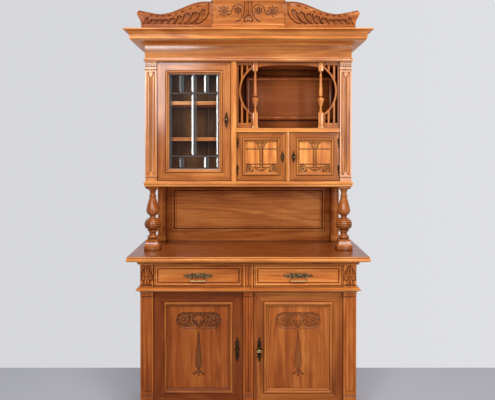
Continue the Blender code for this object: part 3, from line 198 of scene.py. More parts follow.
class Finish:
    """A material, or the world, whose nodes are written as expressions."""

    def __init__(self, owner, shader="Principled BSDF"):
        owner.use_nodes = True
        self.owner = owner
        self.tree = owner.node_tree
        self.shader = self.tree.nodes[shader]

    def node(self, kind, settings=None, inputs=None, output=0):
        """Adds a node, sets it up, feeds its sockets and gives one of its outputs."""
        made = self.tree.nodes.new(kind)
        for key, value in (settings or {}).items():
            setattr(made, key, value)
        for key, value in (inputs or {}).items():
            self.feed(made.inputs[key], value)
        return Value(self, made.outputs[output])

    def feed(self, socket, value):
        if isinstance(value, Value):
            self.tree.links.new(value.socket, socket)
        else:
            socket.default_value = value

    def math(self, operation, first, second=0.0):
        return self.node("ShaderNodeMath", {"operation": operation}, {0: first, 1: second})

    def least(self, first, second):
        return self.math("MINIMUM", first, second)

    def wave(self, value):
        """A sine brought to the range 0 to 1."""
        return self.math("SINE", value) * 0.5 + 0.5

    def pick(self, mask, where_one, where_zero):
        return where_zero + (where_one - where_zero) * mask

    def between(self, value, low, high):
        """Rises smoothly from 0 to 1 between two values."""
        inputs = {0: value, 1: low, 2: high, 3: 0, 4: 1}
        return self.node("ShaderNodeMapRange", {"interpolation_type": "SMOOTHSTEP"}, inputs)

    def noise(self, parts, detail=2.0, distortion=0.0):
        spot = self.node("ShaderNodeCombineXYZ", inputs=dict(enumerate(parts)))
        inputs = {"Vector": spot, "Scale": 1.0, "Detail": detail, "Distortion": distortion}
        return self.node("ShaderNodeTexNoise", inputs=inputs)

    def cloud(self, scale, detail):
        """Noise of one scale in every direction."""
        return self.noise([part * scale for part in self.spot()], detail)

    def ramp(self, value, stops):
        """A colour from a value, by (position, colour) stops."""
        made = self.node("ShaderNodeValToRGB", inputs={0: value})
        elements = made.socket.node.color_ramp.elements
        while len(elements) < len(stops):
            elements.new(1)
        for element, (position, tone) in zip(elements, stops):
            element.position = position
            element.color = (*tone, 1)
        return made

    def mix(self, share, first, second, blend="MIX"):
        """Mixes two colours."""
        first, second = (c if isinstance(c, Value) else (*c, 1) for c in (first, second))
        settings = {"data_type": "RGBA", "blend_type": blend}
        return self.node("ShaderNodeMix", settings, {0: share, 6: first, 7: second}, 2)

    def open_share(self, reach, samples=4, inside=False):
        """How open a place is within a reach, from 0 in a hollow to 1 on a flat."""
        settings = {"samples": samples, "inside": inside}
        return self.node("ShaderNodeAmbientOcclusion", settings, {"Distance": reach}, "AO")

    def spot(self, space="Object"):
        """The point in the piece's own space, or in another, as three values."""
        place = self.node("ShaderNodeTexCoord", output=space)
        return tuple(self.node("ShaderNodeSeparateXYZ", None, {0: place}, i) for i in range(3))

    def bumped(self, height, strength, distance, round_edge=0.0):
        """A normal from a height, over edges that are rounded to a radius."""
        inputs = {"Height": height, "Strength": strength, "Distance": distance}
        if round_edge:
            inputs["Normal"] = self.node("ShaderNodeBevel", {"samples": 4}, {"Radius": round_edge})
        return self.node("ShaderNodeBump", inputs=inputs)

    def set(self, **inputs):
        """Feeds the shader's sockets, named with underscores for spaces."""
        for key, value in inputs.items():
            self.feed(self.shader.inputs[key.replace("_", " ")], value)
        return self.owner


def finish(name, make, *settings, **more):
    """The material of that name, made at its first use. The prefix keeps it apart from the frame's own."""
    name = "buffet_" + name
    return bpy.data.materials.get(name) or make(name, *settings, **more)


def scaled(tone, share):
    """A colour with its parts multiplied by one number or by three."""
    return tuple(np.multiply(tone, share))


def grain_axes(f, grain):
    """Along, across and deep for a grain: an axis, a mitred frame or a moulding round three sides."""
    x, y, z = f.spot()
    if grain in ("x", "y", "z"):
        return {"x": (x, z, y), "y": (y, x, z), "z": (z, x, y)}[grain]
    stile_shift, return_shift = 3.7, 2.3
    if grain[0] == "frame":
        x0, x1, z0, z1 = grain[1:]
        stile = f.least(z - z0, z1 - z) > f.least(x - x0, x1 - x)
        return f.pick(stile, z, x) + stile * stile_shift, f.pick(stile, x, z), y
    half, front = grain[1:]
    side = (abs(x) - half) > (front - y)
    return f.pick(side, y, x) + side * return_shift, z, f.pick(side, x, y)


# Reach, samples, darkest, clearest and tint of the darkening: painted shade in a deep recess, and dust with
# painted shade along mouldings and in fine corners
RECESS_SHADE = (0.30, 8, 0.22, 0.66, (0.15, 0.10, 0.08))
CORNER_DUST_AND_SHADE = ((0.034, 4, 0.15, 0.92, (0.26, 0.17, 0.13)), (0.007, 4, 0.30, 0.92, (0.26, 0.16, 0.12)))


def wood(name, grain, tones, gloss=0.27, figure=1.0, stained=0.0, polish=0.12, sunk=False):
    """A wood finish: rings, fibres, pores, tone from board to board, darkening in the corners that is partly
    dust and partly painted shade, and edges made lighter, partly by wear and partly as a painted highlight.
    """
    light, main, dark = tones
    f = Finish(bpy.data.materials.new(name))
    along, across, deep = grain_axes(f, grain)
    board = f.node("ShaderNodeObjectInfo", output="Random")
    along = along + board * 31.0
    across = across + board * 3.0

    def streaks(fine, long, detail, distortion=0.0):
        return f.noise((across * fine, deep * fine, along * long), detail, distortion)

    rings = f.wave(streaks(6.5, 0.62, 2.0, 0.7) * (44.0 * figure))
    fibre = streaks(230.0, 4.5, 3.0)
    pores = f.between(streaks(620.0, 13.0, 1.0), 0.57, 0.70)
    broad = streaks(3.1, 1.3, 1.0)
    tone = rings * 0.09 + fibre * 0.26 + streaks(52.0, 1.3, 2.0) * 0.20 + broad * 0.25
    tone = tone + streaks(15.0, 6.0, 3.0, 0.4) * 0.20 + board * 0.05
    body = f.ramp(tone, [(0.39, dark), (0.52, main), (0.65, light)])
    body = f.mix(pores * 0.4, body, scaled(dark, 0.5))
    # Convex edges are made lighter: partly wear, partly a painted highlight
    wear_and_highlight = 1 - f.between(f.open_share(0.006, inside=True), 0.42, 0.80)
    body = f.mix(wear_and_highlight * 0.42, body, np.minimum(scaled(light, 1.25), 0.95))
    # The carving's darkening is mixed in here: partly staining and dust, partly painted shade
    if stained:
        stain_and_shade_level = f.node("ShaderNodeAttribute", {"attribute_name": "stain"}, output="Fac")
        patch = streaks(60.0, 60.0, 2.0)
        body = f.mix(stain_and_shade_level * (0.76 * stained + patch * (0.30 * stained)), body, colours().stain)
    # Darker where a place is closed in: dust and painted shade in corners, and on a sunk piece painted shade
    # across deep recesses
    for reach, samples, low, high, dimming in (RECESS_SHADE, *CORNER_DUST_AND_SHADE) if sunk else CORNER_DUST_AND_SHADE:
        undimmed = f.between(f.open_share(reach, samples), low, high)
        body = f.mix(undimmed, f.mix(1.0, body, dimming, "MULTIPLY"), body)
    return f.set(
        Base_Color=body,
        Roughness=gloss + fibre * 0.10 + pores * 0.12 + broad * 0.08,
        Normal=f.bumped(fibre * 0.35 - pores * 0.8 + rings * 0.2, 0.22, 0.0003, sizes().ease),
        Specular_IOR_Level=0.12,
        Coat_Weight=min(polish, 1.0),
        Coat_IOR=1.5 + 0.5 * max(polish - 1.0, 0.0),
        Coat_Roughness=0.15 if polish <= 1.0 else 0.24,
    )


def walnut(grain="z", stained=0.0, shade=1.0, key=None, polish=0.12, red=0.0, sunk=False):
    """Polished walnut with its grain along an axis, darkened by a shade and turned towards red."""
    c = colours()
    fade = (shade, shade**1.25 * (1 - 0.30 * red), shade**1.5 * (1 - 0.5 * red))
    tones = [np.minimum(scaled(tone, fade), 0.95) for tone in (c.walnut_light, c.walnut, c.walnut_dark)]
    look = "_".join(str(round(part * 100)) for part in (stained, shade, polish, red))
    # A sunk piece also takes painted shade across its deep recesses
    name = f"walnut_{key or grain}_{look}" + ("_sunk" if sunk else "")
    return finish(name, wood, grain, tones, stained=stained, polish=polish, sunk=sunk)


def inner_wood(grain, shade=1.0):
    """Bare boards inside and behind the cabinet."""
    c = colours()
    tones = [scaled(tone, shade) for tone in (c.inner_light, c.inner, c.inner_dark)]
    return finish(f"inner_wood_{grain}_{round(shade * 100)}", wood, grain, tones, 0.55, 0.8, polish=0.0)


# Bright colour and its share, dull colour and its share, wear and roughness
METALS = {
    "brass": ("brass", 0.8, "patina", 1.0, 0.6, 0.32),
    "rubbed_brass": ("brass", 0.95, "patina", 3.0, 0.7, 0.46),
    "bronze": ("brass", (0.20, 0.15, 0.12), "patina", (0.42, 0.26, 0.18), -0.25, 0.38),
    "rubbed_bronze": ("brass", 0.50, "patina", 0.35, 0.05, 0.32),
    "lead": ("lead", 0.8, "lead", 0.4, 0.5, 0.45),
}


def aged_metal(name, bright, bright_share, dull, dull_share, wear, rough):
    """An aged metal: patina in patches and bright where it is handled."""
    f = Finish(bpy.data.materials.new(name))
    patch = f.cloud(90.0, 4.0)
    fine = f.cloud(900.0, 2.0)
    brightened = f.between(patch * 0.7 + f.open_share(0.006) * 0.45, 0.62 - wear * 0.3, 0.95 - wear * 0.3)
    patina = scaled(getattr(colours(), dull), dull_share)
    shine = scaled(getattr(colours(), bright), bright_share)
    return f.set(
        Base_Color=f.mix(brightened, patina, shine),
        Metallic=0.85 + brightened * 0.15,
        Roughness=rough + fine * 0.16 + (1 - brightened) * 0.16,
        Normal=f.bumped(patch * 0.6 + fine * 0.4, 0.25, 0.0003),
    )


def metal(kind):
    return finish(kind, aged_metal, *METALS[kind])


def pane_glass(name, tint, body, bend, rough):
    """Thin clear glass with old ripples: clearer straight on, brighter at a slant."""
    f = Finish(bpy.data.materials.new(name))
    x, y, z = f.spot()
    ripple = f.noise((x * 9.0, y * 9.0, z * 5.0), 2.0)
    # Dust specks on the glass: dimming darkens its tint a little, roughens it and clouds it
    dimming = f.cloud(140.0, 3.0)
    slant = f.node("ShaderNodeLayerWeight", None, {"Blend": 0.25}, "Fresnel")
    f.owner.surface_render_method = "BLENDED"
    return f.set(
        Base_Color=f.mix(dimming * 0.3, tint, scaled(tint, 0.8)),
        Roughness=rough + dimming * 0.04,
        Alpha=body + slant * 0.3 + dimming * 0.03,
        Normal=f.bumped(ripple, 0.04, 0.001),
        IOR=bend,
    )


# Shapes


def place(name, shape, materials, body, *nodes, slot="walnut", sharp=32, second=None):
    """Adds a piece, from a bmesh or a mesh, that rides a body and stands for the nodes named.

    Where two materials are given, second tells from a face whether it takes the second one.
    """
    mesh = shaped(name, shape, sharp) if isinstance(shape, bmesh.types.BMesh) else shape
    for material in materials if isinstance(materials, tuple) else (materials,):
        mesh.materials.append(material)
    for face in mesh.polygons if second else ():
        face.material_index = int(second(face))
    piece = bpy.data.objects.new(name, mesh)
    bpy.context.scene.collection.objects.link(piece)
    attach(piece, body)
    if nodes:
        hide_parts(*nodes)


def place_bronze(name, shape, body):
    place(name, shape, metal("bronze"), body, slot="bronze")


def dress(material, *nodes):
    """Gives carried-over nodes their finish."""
    for name in nodes:
        for holder in frame["nodes"][name].material_slots:
            holder.material = material


def centre(node):
    """Middle of a node's box."""
    return tuple((a + b) / 2 for a, b in zip(*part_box(node)))


def shaped(name, bm, sharp):
    """Closes a bmesh into a smooth-shaded mesh with its edges kept sharp."""
    bmesh.ops.recalc_face_normals(bm, faces=bm.faces)
    mesh = bpy.data.meshes.new(name)
    bm.to_mesh(mesh)
    bm.free()
    mesh.shade_smooth()
    mesh.set_sharp_from_angle(angle=math.radians(sharp))
    return mesh


def skin(rings, endless=False, bm=None):
    """Skins rings of equal count, with caps unless the run is endless."""
    bm = bm or bmesh.new()
    loops = [[bm.verts.new(point) for point in ring] for ring in rings]
    pairs = list(zip(loops, loops[1:]))
    if endless:
        pairs.append((loops[-1], loops[0]))
    else:
        bm.faces.new(loops[0])
        bm.faces.new(loops[-1])
    for low, high in pairs:
        for i in range(len(low)):
            j = (i + 1) % len(low)
            bm.faces.new((low[i], low[j], high[j], high[i]))
    return bm


def rect_xy(x0, x1, y0, y1, z):
    return [(x0, y0, z), (x1, y0, z), (x1, y1, z), (x0, y1, z)]


def inset_xz(box, inset, y):
    """A rectangle in the plane of x and z, drawn in from a box."""
    x0, x1, z0, z1 = box
    x0, x1, z0, z1 = x0 + inset, x1 - inset, z0 + inset, z1 - inset
    return [(x0, y, z0), (x1, y, z0), (x1, y, z1), (x0, y, z1)]


def arc(middle, radius_x, radius_y, start, end, steps):
    turns = np.radians(np.linspace(start, end, steps + 1))
    return [(middle[0] + radius_x * math.cos(t), middle[1] + radius_y * math.sin(t)) for t in turns]


def section(parts, up=0.0):
    """A moulding's line from points (out, height) and arcs (out, height, two radii, two angles, steps)."""
    line = []
    for out, height, *bend in parts:
        spot = (out, up + height)
        line += arc(spot, *bend) if bend else [spot]
    return line


def mirrored(right):
    """An outline closed by the mirror image of its right half."""
    return right + [(-x, z) for x, z in reversed(right)]


def eased_block(bm, low, high, ease):
    """A block with rounded edges."""
    middle = (Vector(low) + Vector(high)) / 2
    size = Vector(high) - Vector(low)
    made = bmesh.ops.create_cube(bm, size=1, matrix=Matrix.Translation(middle) @ Matrix.Diagonal((*size, 1)))
    edges = dict.fromkeys(edge for vert in made["verts"] for edge in vert.link_edges)
    bmesh.ops.bevel(bm, geom=list(edges), offset=ease, segments=2, profile=0.6, affect="EDGES")


def square_block(bm, x, y, half, z0, z1, ease):
    """A block on a square plan."""
    eased_block(bm, (x - half, y - half, z0), (x + half, y + half, z1), ease)


def smooth_points(points, per_span=4):
    """Points on a smooth curve through the given ones."""
    p = np.array([points[0], *points, points[-1]], float)
    out = []
    for i in range(1, len(p) - 2):
        for t in np.linspace(0, 1, per_span, endpoint=False):
            a = 2 * p[i]
            b = (p[i + 1] - p[i - 1]) * t
            c = (2 * p[i - 1] - 5 * p[i] + 4 * p[i + 1] - p[i + 2]) * t * t
            d = (3 * p[i] - p[i - 1] - 3 * p[i + 1] + p[i + 2]) * t**3
            out.append((a + b + c + d) / 2)
    out.append(p[-2])
    return out


def turning(runs, z, span=1.0):
    """A turned profile from runs of (radius, height)."""
    return [(r, z + span * up) for run in runs for r, up in smooth_points(run)]


def lathed(profile, middle, sides, bm, gadroon=None, axis="z"):
    """Turns a profile of (radius, height). Gadroons swell part of it: (low, high, count, rise)."""
    angles = np.linspace(0, 2 * math.pi, sides, endpoint=False)
    rings = []
    for r, h in profile:
        swell = np.zeros(sides)
        if gadroon and gadroon[0] < h < gadroon[1]:
            low, high, count, rise = gadroon
            fade = math.sin(math.pi * (h - low) / (high - low)) ** 0.5
            swell = rise * fade * (np.abs(np.cos(angles * count / 2)) - 0.75)
        ring = []
        for a, s in zip(angles, swell):
            p, q = middle[0] + (r + s) * math.cos(a), middle[1] + (r + s) * math.sin(a)
            ring.append((p, q, h) if axis == "z" else (p, h, q))
        rings.append(ring)
    skin(rings, bm=bm)


def tube(points, radii, sides):
    """A round rod of changing radius along a path."""
    path = [Vector(p) for p in points]
    turns = [2 * math.pi * k / sides for k in range(sides)]
    aside = None
    rings = []
    for before, spot, after, radius in zip([path[0], *path], path, [*path[1:], path[-1]], radii):
        ahead = (after - before).normalized()
        aside = aside or ahead.orthogonal().normalized()
        aside = (aside - ahead * aside.dot(ahead)).normalized()
        up = ahead.cross(aside)
        rings.append([spot + float(radius) * (math.cos(t) * aside + math.sin(t) * up) for t in turns])
    return skin(rings)


def linked(name, data):
    """A new object in the scene."""
    item = bpy.data.objects.new(name, data)
    bpy.context.scene.collection.objects.link(item)
    return item


def settled(item):
    """The mesh of an object with its modifiers or its curve worked out. The object is removed."""
    graph = bpy.context.evaluated_depsgraph_get()
    mesh = bpy.data.meshes.new_from_object(item.evaluated_get(graph))
    bpy.data.objects.remove(item)
    return mesh


def flat_plate(outline, holes, thick, ease, y):
    """A plate in the plane of x and z, centred on a depth, with rounded edges and holes."""
    drawing = bpy.data.curves.new("plate", "CURVE")
    drawing.dimensions = "2D"
    drawing.fill_mode = "BOTH"
    drawing.extrude = thick / 2 - ease
    drawing.bevel_depth = ease
    drawing.bevel_resolution = 1
    drawing.offset = -ease
    for loop in (outline, *holes):
        spline = drawing.splines.new("POLY")
        spline.points.add(len(loop) - 1)
        for point, (x, z) in zip(spline.points, loop):
            point.co = (x, z, 0, 1)
        spline.use_cyclic_u = True
    bm = bmesh.new()
    bm.from_mesh(settled(linked("plate", drawing)))
    bmesh.ops.remove_doubles(bm, verts=bm.verts, dist=0.00002)
    bmesh.ops.rotate(bm, verts=bm.verts, matrix=Matrix.Rotation(math.radians(90), 3, "X"))
    bmesh.ops.translate(bm, verts=bm.verts, vec=(0, y, 0))
    return bm


# Carving: each function takes arrays of places on a face and gives its height and how dark it is, by staining
# and dust and by painted shade


def most(*parts):
    return np.maximum.reduce(parts)


def ease_in(t):
    t = np.clip(t, 0, 1)
    return t * t * (3 - 2 * t)


def dome(q):
    """A rounded swell, 1 in the middle and 0 where q reaches 1."""
    return np.sqrt(np.clip(1 - q * q, 0, 1))


def petal(u, v, middle, half_length, half_width, lean):
    """Share of the way out from the middle of a leaf-shaped oval that leans from upright by degrees."""
    t = math.radians(lean)
    du = u - middle[0]
    dv = v - middle[1]
    along = du * math.sin(t) + dv * math.cos(t)
    aside = du * math.cos(t) - dv * math.sin(t)
    return np.hypot(along / half_length, aside / half_width)


def vine(u, v, points, radii):
    """Share of the way out from a smooth line of changing width."""
    best = np.full(u.shape, 9.0)
    spots = np.array(smooth_points(points, 6), float)
    wide = np.interp(np.linspace(0, 1, len(spots)), np.linspace(0, 1, len(radii)), radii)
    for a, b, ra, rb in zip(spots, spots[1:], wide, wide[1:]):
        run = b - a
        t = np.clip(((u - a[0]) * run[0] + (v - a[1]) * run[1]) / max(run @ run, 1e-12), 0, 1)
        far = np.hypot(u - a[0] - t * run[0], v - a[1] - t * run[1])
        best = np.minimum(best, far / (ra + (rb - ra) * t))
    return best


def leaves(u, v, rows):
    """Height of ovals given as (height, middle, half length, half width, lean)."""
    return most(*(high * dome(petal(u, v, *row)) for high, *row in rows))


def vines(u, v, rows):
    """Height of lines given as (height, points, radii)."""
    return most(*(high * dome(vine(u, v, *row)) for high, *row in rows))


def around(middle, far, lean):
    """The place at a distance from a middle, in a direction that leans from upright by degrees."""
    t = math.radians(lean)
    return middle[0] + far * math.sin(t), middle[1] + far * math.cos(t)


def round_box(u, v, half_u, half_v, radius):
    """Distance outside a rectangle with round corners."""
    du = np.abs(u) - half_u + radius
    dv = np.abs(v) - half_v + radius
    return np.hypot(np.maximum(du, 0), np.maximum(dv, 0)) + np.minimum(np.maximum(du, dv), 0) - radius


def soft_union(a, b, reach):
    h = np.clip(0.5 + 0.5 * (b - a) / reach, 0, 1)
    return b + (a - b) * h - reach * h * (1 - h)


def scored(height, stain, z, cuts, shade):
    """A face with level lines cut into it, each given as (level, depth, half width)."""
    for level, deep, wide in cuts:
        line = dome((z - level) / wide)
        height = np.minimum(height, -deep * line)
        stain = np.maximum(stain, shade * line)
    return height, stain


def flower(u, v, middle, radius, count, turn=0.0, slim=0.42):
    """Height of a flower: a ring of creased petals round a boss."""
    high = np.zeros(u.shape)
    for k in range(count):
        lean = turn + 360 * k / count
        spot = around(middle, 0.6 * radius, lean)
        q = petal(u, v, spot, radius * 0.45, radius * slim * 0.72, lean)
        crease = 1 - 0.35 * dome(petal(u, v, spot, radius * 0.40, radius * 0.05, lean))
        high = np.maximum(high, dome(q) * crease * 0.85)
    boss = np.hypot(u - middle[0], v - middle[1]) / (radius * 0.26)
    return np.where(boss < 1.35, np.maximum(dome(boss), 0.15), high)


STEM_FALLS = (0.030, 0.058, 0.100, 0.170, 0.225, 0.255, 0.272)
STEM_WIDTHS = (0.020, 0.0056, 0.0075, 0.0140, 0.0205, 0.0168, 0.0010)
ROSETTE = (0.0826, 0.004)
ROSETTE_SPRIGS = ((75, 0.0335), (125, 0.0345), (170, 0.0345), (215, 0.0345), (15, 0.0345), (-40, 0.034))
TULIP = (
    (1.0, (0.0, 0.015), 0.0190, 0.0080, 0),
    (0.95, (0.0110, 0.012), 0.0165, 0.0068, 24),
    (0.85, (0.0205, 0.004), 0.0130, 0.0052, 58),
    (1.0, (0.0, -0.009), 0.0085, 0.0075, 0),
)
BAND_VINES = (
    (0.8, ((0, -0.052), (0, -0.030), (0, -0.012)), (0.004, 0.003)),
    (
        0.92,
        ((0.006, -0.040), (0.026, -0.026), (0.040, -0.004), (0.037, 0.020), (0.047, 0.034), (0.060, 0.032)),
        (0.0026, 0.0056, 0.0064, 0.0046, 0.0034, 0.0018),
    ),
    (
        0.8,
        ((0.014, -0.036), (0.034, -0.033), (0.050, -0.024), (0.055, -0.006), (0.049, 0.006)),
        (0.002, 0.0046, 0.0056, 0.0044, 0.0018),
    ),
    (0.7, ((0.014, 0.030), (0.026, 0.037), (0.040, 0.040)), (0.002, 0.0044, 0.002)),
)
STEM_ROOT = ((1.0, (0, -0.292), 0.0175, 0.0066, 0), (1.0, (0.029, -0.290), 0.006, 0.0038, 70))
STEM_LOBES = ((1.0, ((0.002, -0.276), (0.014, -0.283), (0.024, -0.296)), (0.004, 0.0066, 0.0038)),)


def lower_panel_carving(u, v):
    """A rounded band of flowers with a tulip, a scooped stem that widens downwards, and a lobed root."""
    depth = sizes().carving_depth
    a = np.abs(u)
    wide = np.interp(-v, STEM_FALLS, STEM_WIDTHS)
    stem = most(a - wide, v + STEM_FALLS[0], -STEM_FALLS[-1] - v)
    field = soft_union(round_box(u, v, 0.1225, 0.0450, 0.042), stem, 0.022)
    sunk = ease_in(-field / 0.0024)
    tulip = leaves(a, v, TULIP)
    rosette = flower(a, v, ROSETTE, 0.0285, 7, 15, 0.52) * 0.95
    sprigs = [(0.7, around(ROSETTE, far, lean), 0.0085, 0.0046, lean + 35) for lean, far in ROSETTE_SPRIGS]
    rim = dome((field + 0.0066) / 0.0052) * ease_in((0.002 - v) / 0.025) * ease_in((v + 0.086) / 0.030)
    swell = most(rosette, leaves(a, v, sprigs), tulip, vines(a, v, BAND_VINES), 1.05 * rim)
    scoop = dome(np.clip(a / np.maximum(wide - 0.0030, 0.001), 0, 1))
    scoop = scoop * ease_in((-0.055 - v) / 0.02) * (v > -STEM_FALLS[-1])
    root = most(leaves(a, v, STEM_ROOT), vines(a, v, STEM_LOBES))
    height = -depth * sunk * (1 - swell) - 0.45 * depth * scoop * sunk - 0.75 * depth * root
    bright = np.maximum(0.74 * swell, 0.95 * tulip)
    shade = 0.92 - 0.16 * ease_in((-0.060 - v) / 0.03)
    dark = sunk * np.clip(1 - bright, 0, 1) * shade
    return height, np.clip(np.maximum(dark, root * 0.85), 0, 1)


CROSS_GROOVES = (-0.043, -0.129)
CUP_FALLS = (0.006, 0.011, 0.013, 0.024, 0.034, 0.043)
CUP_WIDTHS = (0.0320, 0.0290, 0.0215, 0.0200, 0.0165, 0.0080)
CUP_HEART = ((1.0, (0.0070, -0.0225), 0.0115, 0.0075, -14), (1.0, (0, -0.030), 0.0085, 0.005, 0))
FOOT_LEAF = ((0, -0.153), 0.0125, 0.0062, 0)
FOOT_SCROLLS = (
    (((0.0, -0.157), (0.016, -0.154), (0.030, -0.149), (0.040, -0.146)), (0.0070, 0.0056, 0.0030, 0.0012)),
    (
        (
            (0.080, -0.144), (0.081, -0.158), (0.074, -0.168), (0.062, -0.167), (0.055, -0.157),
            (0.060, -0.148), (0.067, -0.152),
        ),
        (0.0030, 0.0046, 0.0056, 0.0058, 0.0052, 0.0042, 0.0034),
    ),
    (((0.046, -0.166), (0.050, -0.152), (0.058, -0.141)), (0.0022, 0.0044, 0.0030)),
    (((0.060, -0.140), (0.070, -0.138), (0.080, -0.134)), (0.0026, 0.0050, 0.0020)),
    (((0.046, -0.172), (0.056, -0.176), (0.068, -0.176)), (0.0016, 0.0034, 0.0018)),
)


def small_panel_carving(u, v):
    """A cup on a round stem between two cross grooves, with a bow and scroll leaves at the foot."""
    depth = sizes().carving_depth
    a = np.abs(u)
    groove = most(*(dome((v - level) / 0.0032) for level in CROSS_GROOVES))
    cup = most(a - np.interp(-v, CUP_FALLS, CUP_WIDTHS), v + CUP_FALLS[0], -CUP_FALLS[-1] - v)
    bowl = np.where(cup < -0.002, np.maximum(0.25, leaves(a, v, CUP_HEART)), 0.55 * ease_in(-cup / 0.004))
    lip = dome((v + 0.0085) / 0.0034) * (a < 0.0315)
    stem = ease_in((-0.040 - v) / 0.004) * ease_in((v + 0.150) / 0.006)
    foot = np.minimum.reduce([petal(a, v, *FOOT_LEAF), *(vine(a, v, *row) for row in FOOT_SCROLLS)])
    ground = most(
        ease_in((0.0032 - cup) / 0.0030), ease_in((0.0098 - a) / 0.0020) * stem, ease_in((1.75 - foot) / 0.5)
    )
    swell = most(bowl, 0.8 * lip, 0.9 * (dome(a / 0.0066) * stem), dome(foot))
    height = np.where(ground > 0.01, -depth * ground * (1 - swell), -0.6 * depth * groove)
    dark = np.maximum(0.95 * groove, ground * np.clip(0.66 - 0.34 * swell, 0, 1))
    return height, np.clip(dark, 0, 1)


TRUNK_RISES = (0.003, 0.010, 0.022, 0.040, 0.067, 0.125)
TRUNK_WIDTHS = (0.066, 0.052, 0.037, 0.027, 0.0215, 0.0186)
TRUNK_HEART = (((0.0112, 0.0190), 0.0175, 0.0105, -32), ((0.0, 0.023), 0.0155, 0.0065, 0))
TABLET_VINES = (
    (1.0, ((0.046, 0.010), (0.058, 0.005), (0.070, 0.0055)), (0.003, 0.0042, 0.0020)),
    (1.0, ((0.0255, 0.080), (0.036, 0.090), (0.047, 0.096)), (0.0022, 0.0030, 0.0020)),
    (
        1.0,
        ((0.069, 0.092), (0.082, 0.086), (0.090, 0.068), (0.096, 0.050), (0.106, 0.041), (0.117, 0.043)),
        (0.0024, 0.0030, 0.0026, 0.0020),
    ),
)
TABLET_LEAVES = (
    (0.8, (0.060, 0.098), 0.0085, 0.0034, 15),
    (0.8, (0.048, 0.094), 0.008, 0.003, 60),
    (0.4, (0.1705, 0.070), 0.0110, 0.0024, 72),
    (0.4, (0.1715, 0.052), 0.0110, 0.0024, 112),
)
TABLET_FLOWERS = (((0.1346, 0.0602), 0.0275, 8), ((0.0574, 0.0651), 0.0205, 6))


def tablet_carving(u, v):
    """A double stem with spreading roots round a heart, and on each side a vine with two flowers."""
    depth = sizes().carving_depth
    a = np.abs(u)
    edge = np.interp(v, TRUNK_RISES, TRUNK_WIDTHS)
    trunk = dome((a - edge) / 0.0034) * (v > 0.002)
    split = dome(a / 0.0032) * ease_in((v - 0.034) / 0.008)
    rib = dome((a - edge * 0.48) / 0.0022) * ease_in((v - 0.036) / 0.008)
    cut = most(trunk, split, vines(a, v, TABLET_VINES), leaves(a, v, TABLET_LEAVES))
    height = -0.62 * depth * cut - 0.35 * depth * rib
    dark = np.maximum(0.78 * cut, 0.5 * rib)
    heart = np.minimum.reduce([petal(a, v, *row) for row in TRUNK_HEART])
    ground = ease_in((1.28 - heart) / 0.25)
    height = np.where(ground > 0.01, -depth * ground * (1 - 0.95 * dome(heart)), height)
    dark = np.where(ground > 0.01, ground * (1 - 0.95 * dome(heart)), dark)
    for spot, radius, count in TABLET_FLOWERS:
        far = np.hypot(a - spot[0], v - spot[1]) / radius
        scallop = 1.00 + 0.16 * np.cos(np.arctan2(a - spot[0], v - spot[1]) * count)
        ground = ease_in((scallop - far) / 0.12)
        bloom = flower(a, v, spot, radius, count, 0, 0.44)
        height = np.where(ground > 0.01, -depth * ground * (1 - 0.9 * bloom), height)
        dark = np.where(ground > 0.01, np.maximum(ground * (0.95 - 0.72 * bloom), 0), dark)
    return height, np.clip(dark, 0, 1)


# Places read off the picture of the left wing, in pixels: lines between petals, arched heads and nicks
WING_LINES = (
    ((195.0, 24.5), (199.5, 23.5), (203.5, 21.0), (207.0, 17.0), (208.5, 12.5)),
    ((188.0, 24.5), (193.0, 22.8), (197.0, 19.3), (199.5, 14.5), (200.3, 12.2)),
    ((183.0, 24.5), (187.0, 22.7), (190.8, 18.7), (192.7, 13.8), (193.0, 13.0)),
    ((178.0, 24.5), (181.3, 22.5), (183.0, 20.0), (184.4, 15.2), (184.6, 14.6)),
    ((172.0, 24.5), (175.0, 22.8), (177.0, 19.6), (177.7, 17.0), (177.8, 16.5)),
    ((166.0, 24.5), (168.5, 23.0), (169.7, 21.0), (170.4, 19.1), (170.5, 18.8)),
    ((159.0, 24.5), (161.5, 23.0), (163.0, 21.0), (163.5, 19.6), (163.6, 19.3)),
    ((153.0, 24.5), (155.5, 23.0), (157.0, 21.0), (157.5, 20.0), (157.6, 19.6)),
    ((146.5, 24.5), (149.2, 23.0), (150.5, 21.0), (151.6, 20.0), (152.0, 19.7)),
    ((141.5, 24.5), (143.0, 23.2), (144.2, 21.4), (144.8, 19.8), (145.0, 18.9)),
)
WING_ARCHES = (
    (203.4, 10.0), (195.4, 12.2), (188.1, 13.9), (180.4, 16.2), (173.4, 18.1), (166.5, 19.6), (160.3, 19.7),
    (154.6, 19.6), (147.0, 18.1),
)
WING_NICKS = (
    (197.7, 6.8), (190.4, 9.0), (182.3, 12.4), (176.0, 14.3), (169.4, 15.9), (163.0, 16.4), (157.4, 16.5),
    (151.6, 15.7),
)
WING_PIXEL = 0.005567
WING_MIDDLE = 248.3
WING_FLOOR = 30.77


def wing_spot(x, y):
    """Distance from the middle and height above the cornice of a place in the picture."""
    return np.array([(WING_MIDDLE - x) * WING_PIXEL, (WING_FLOOR - y) * WING_PIXEL])


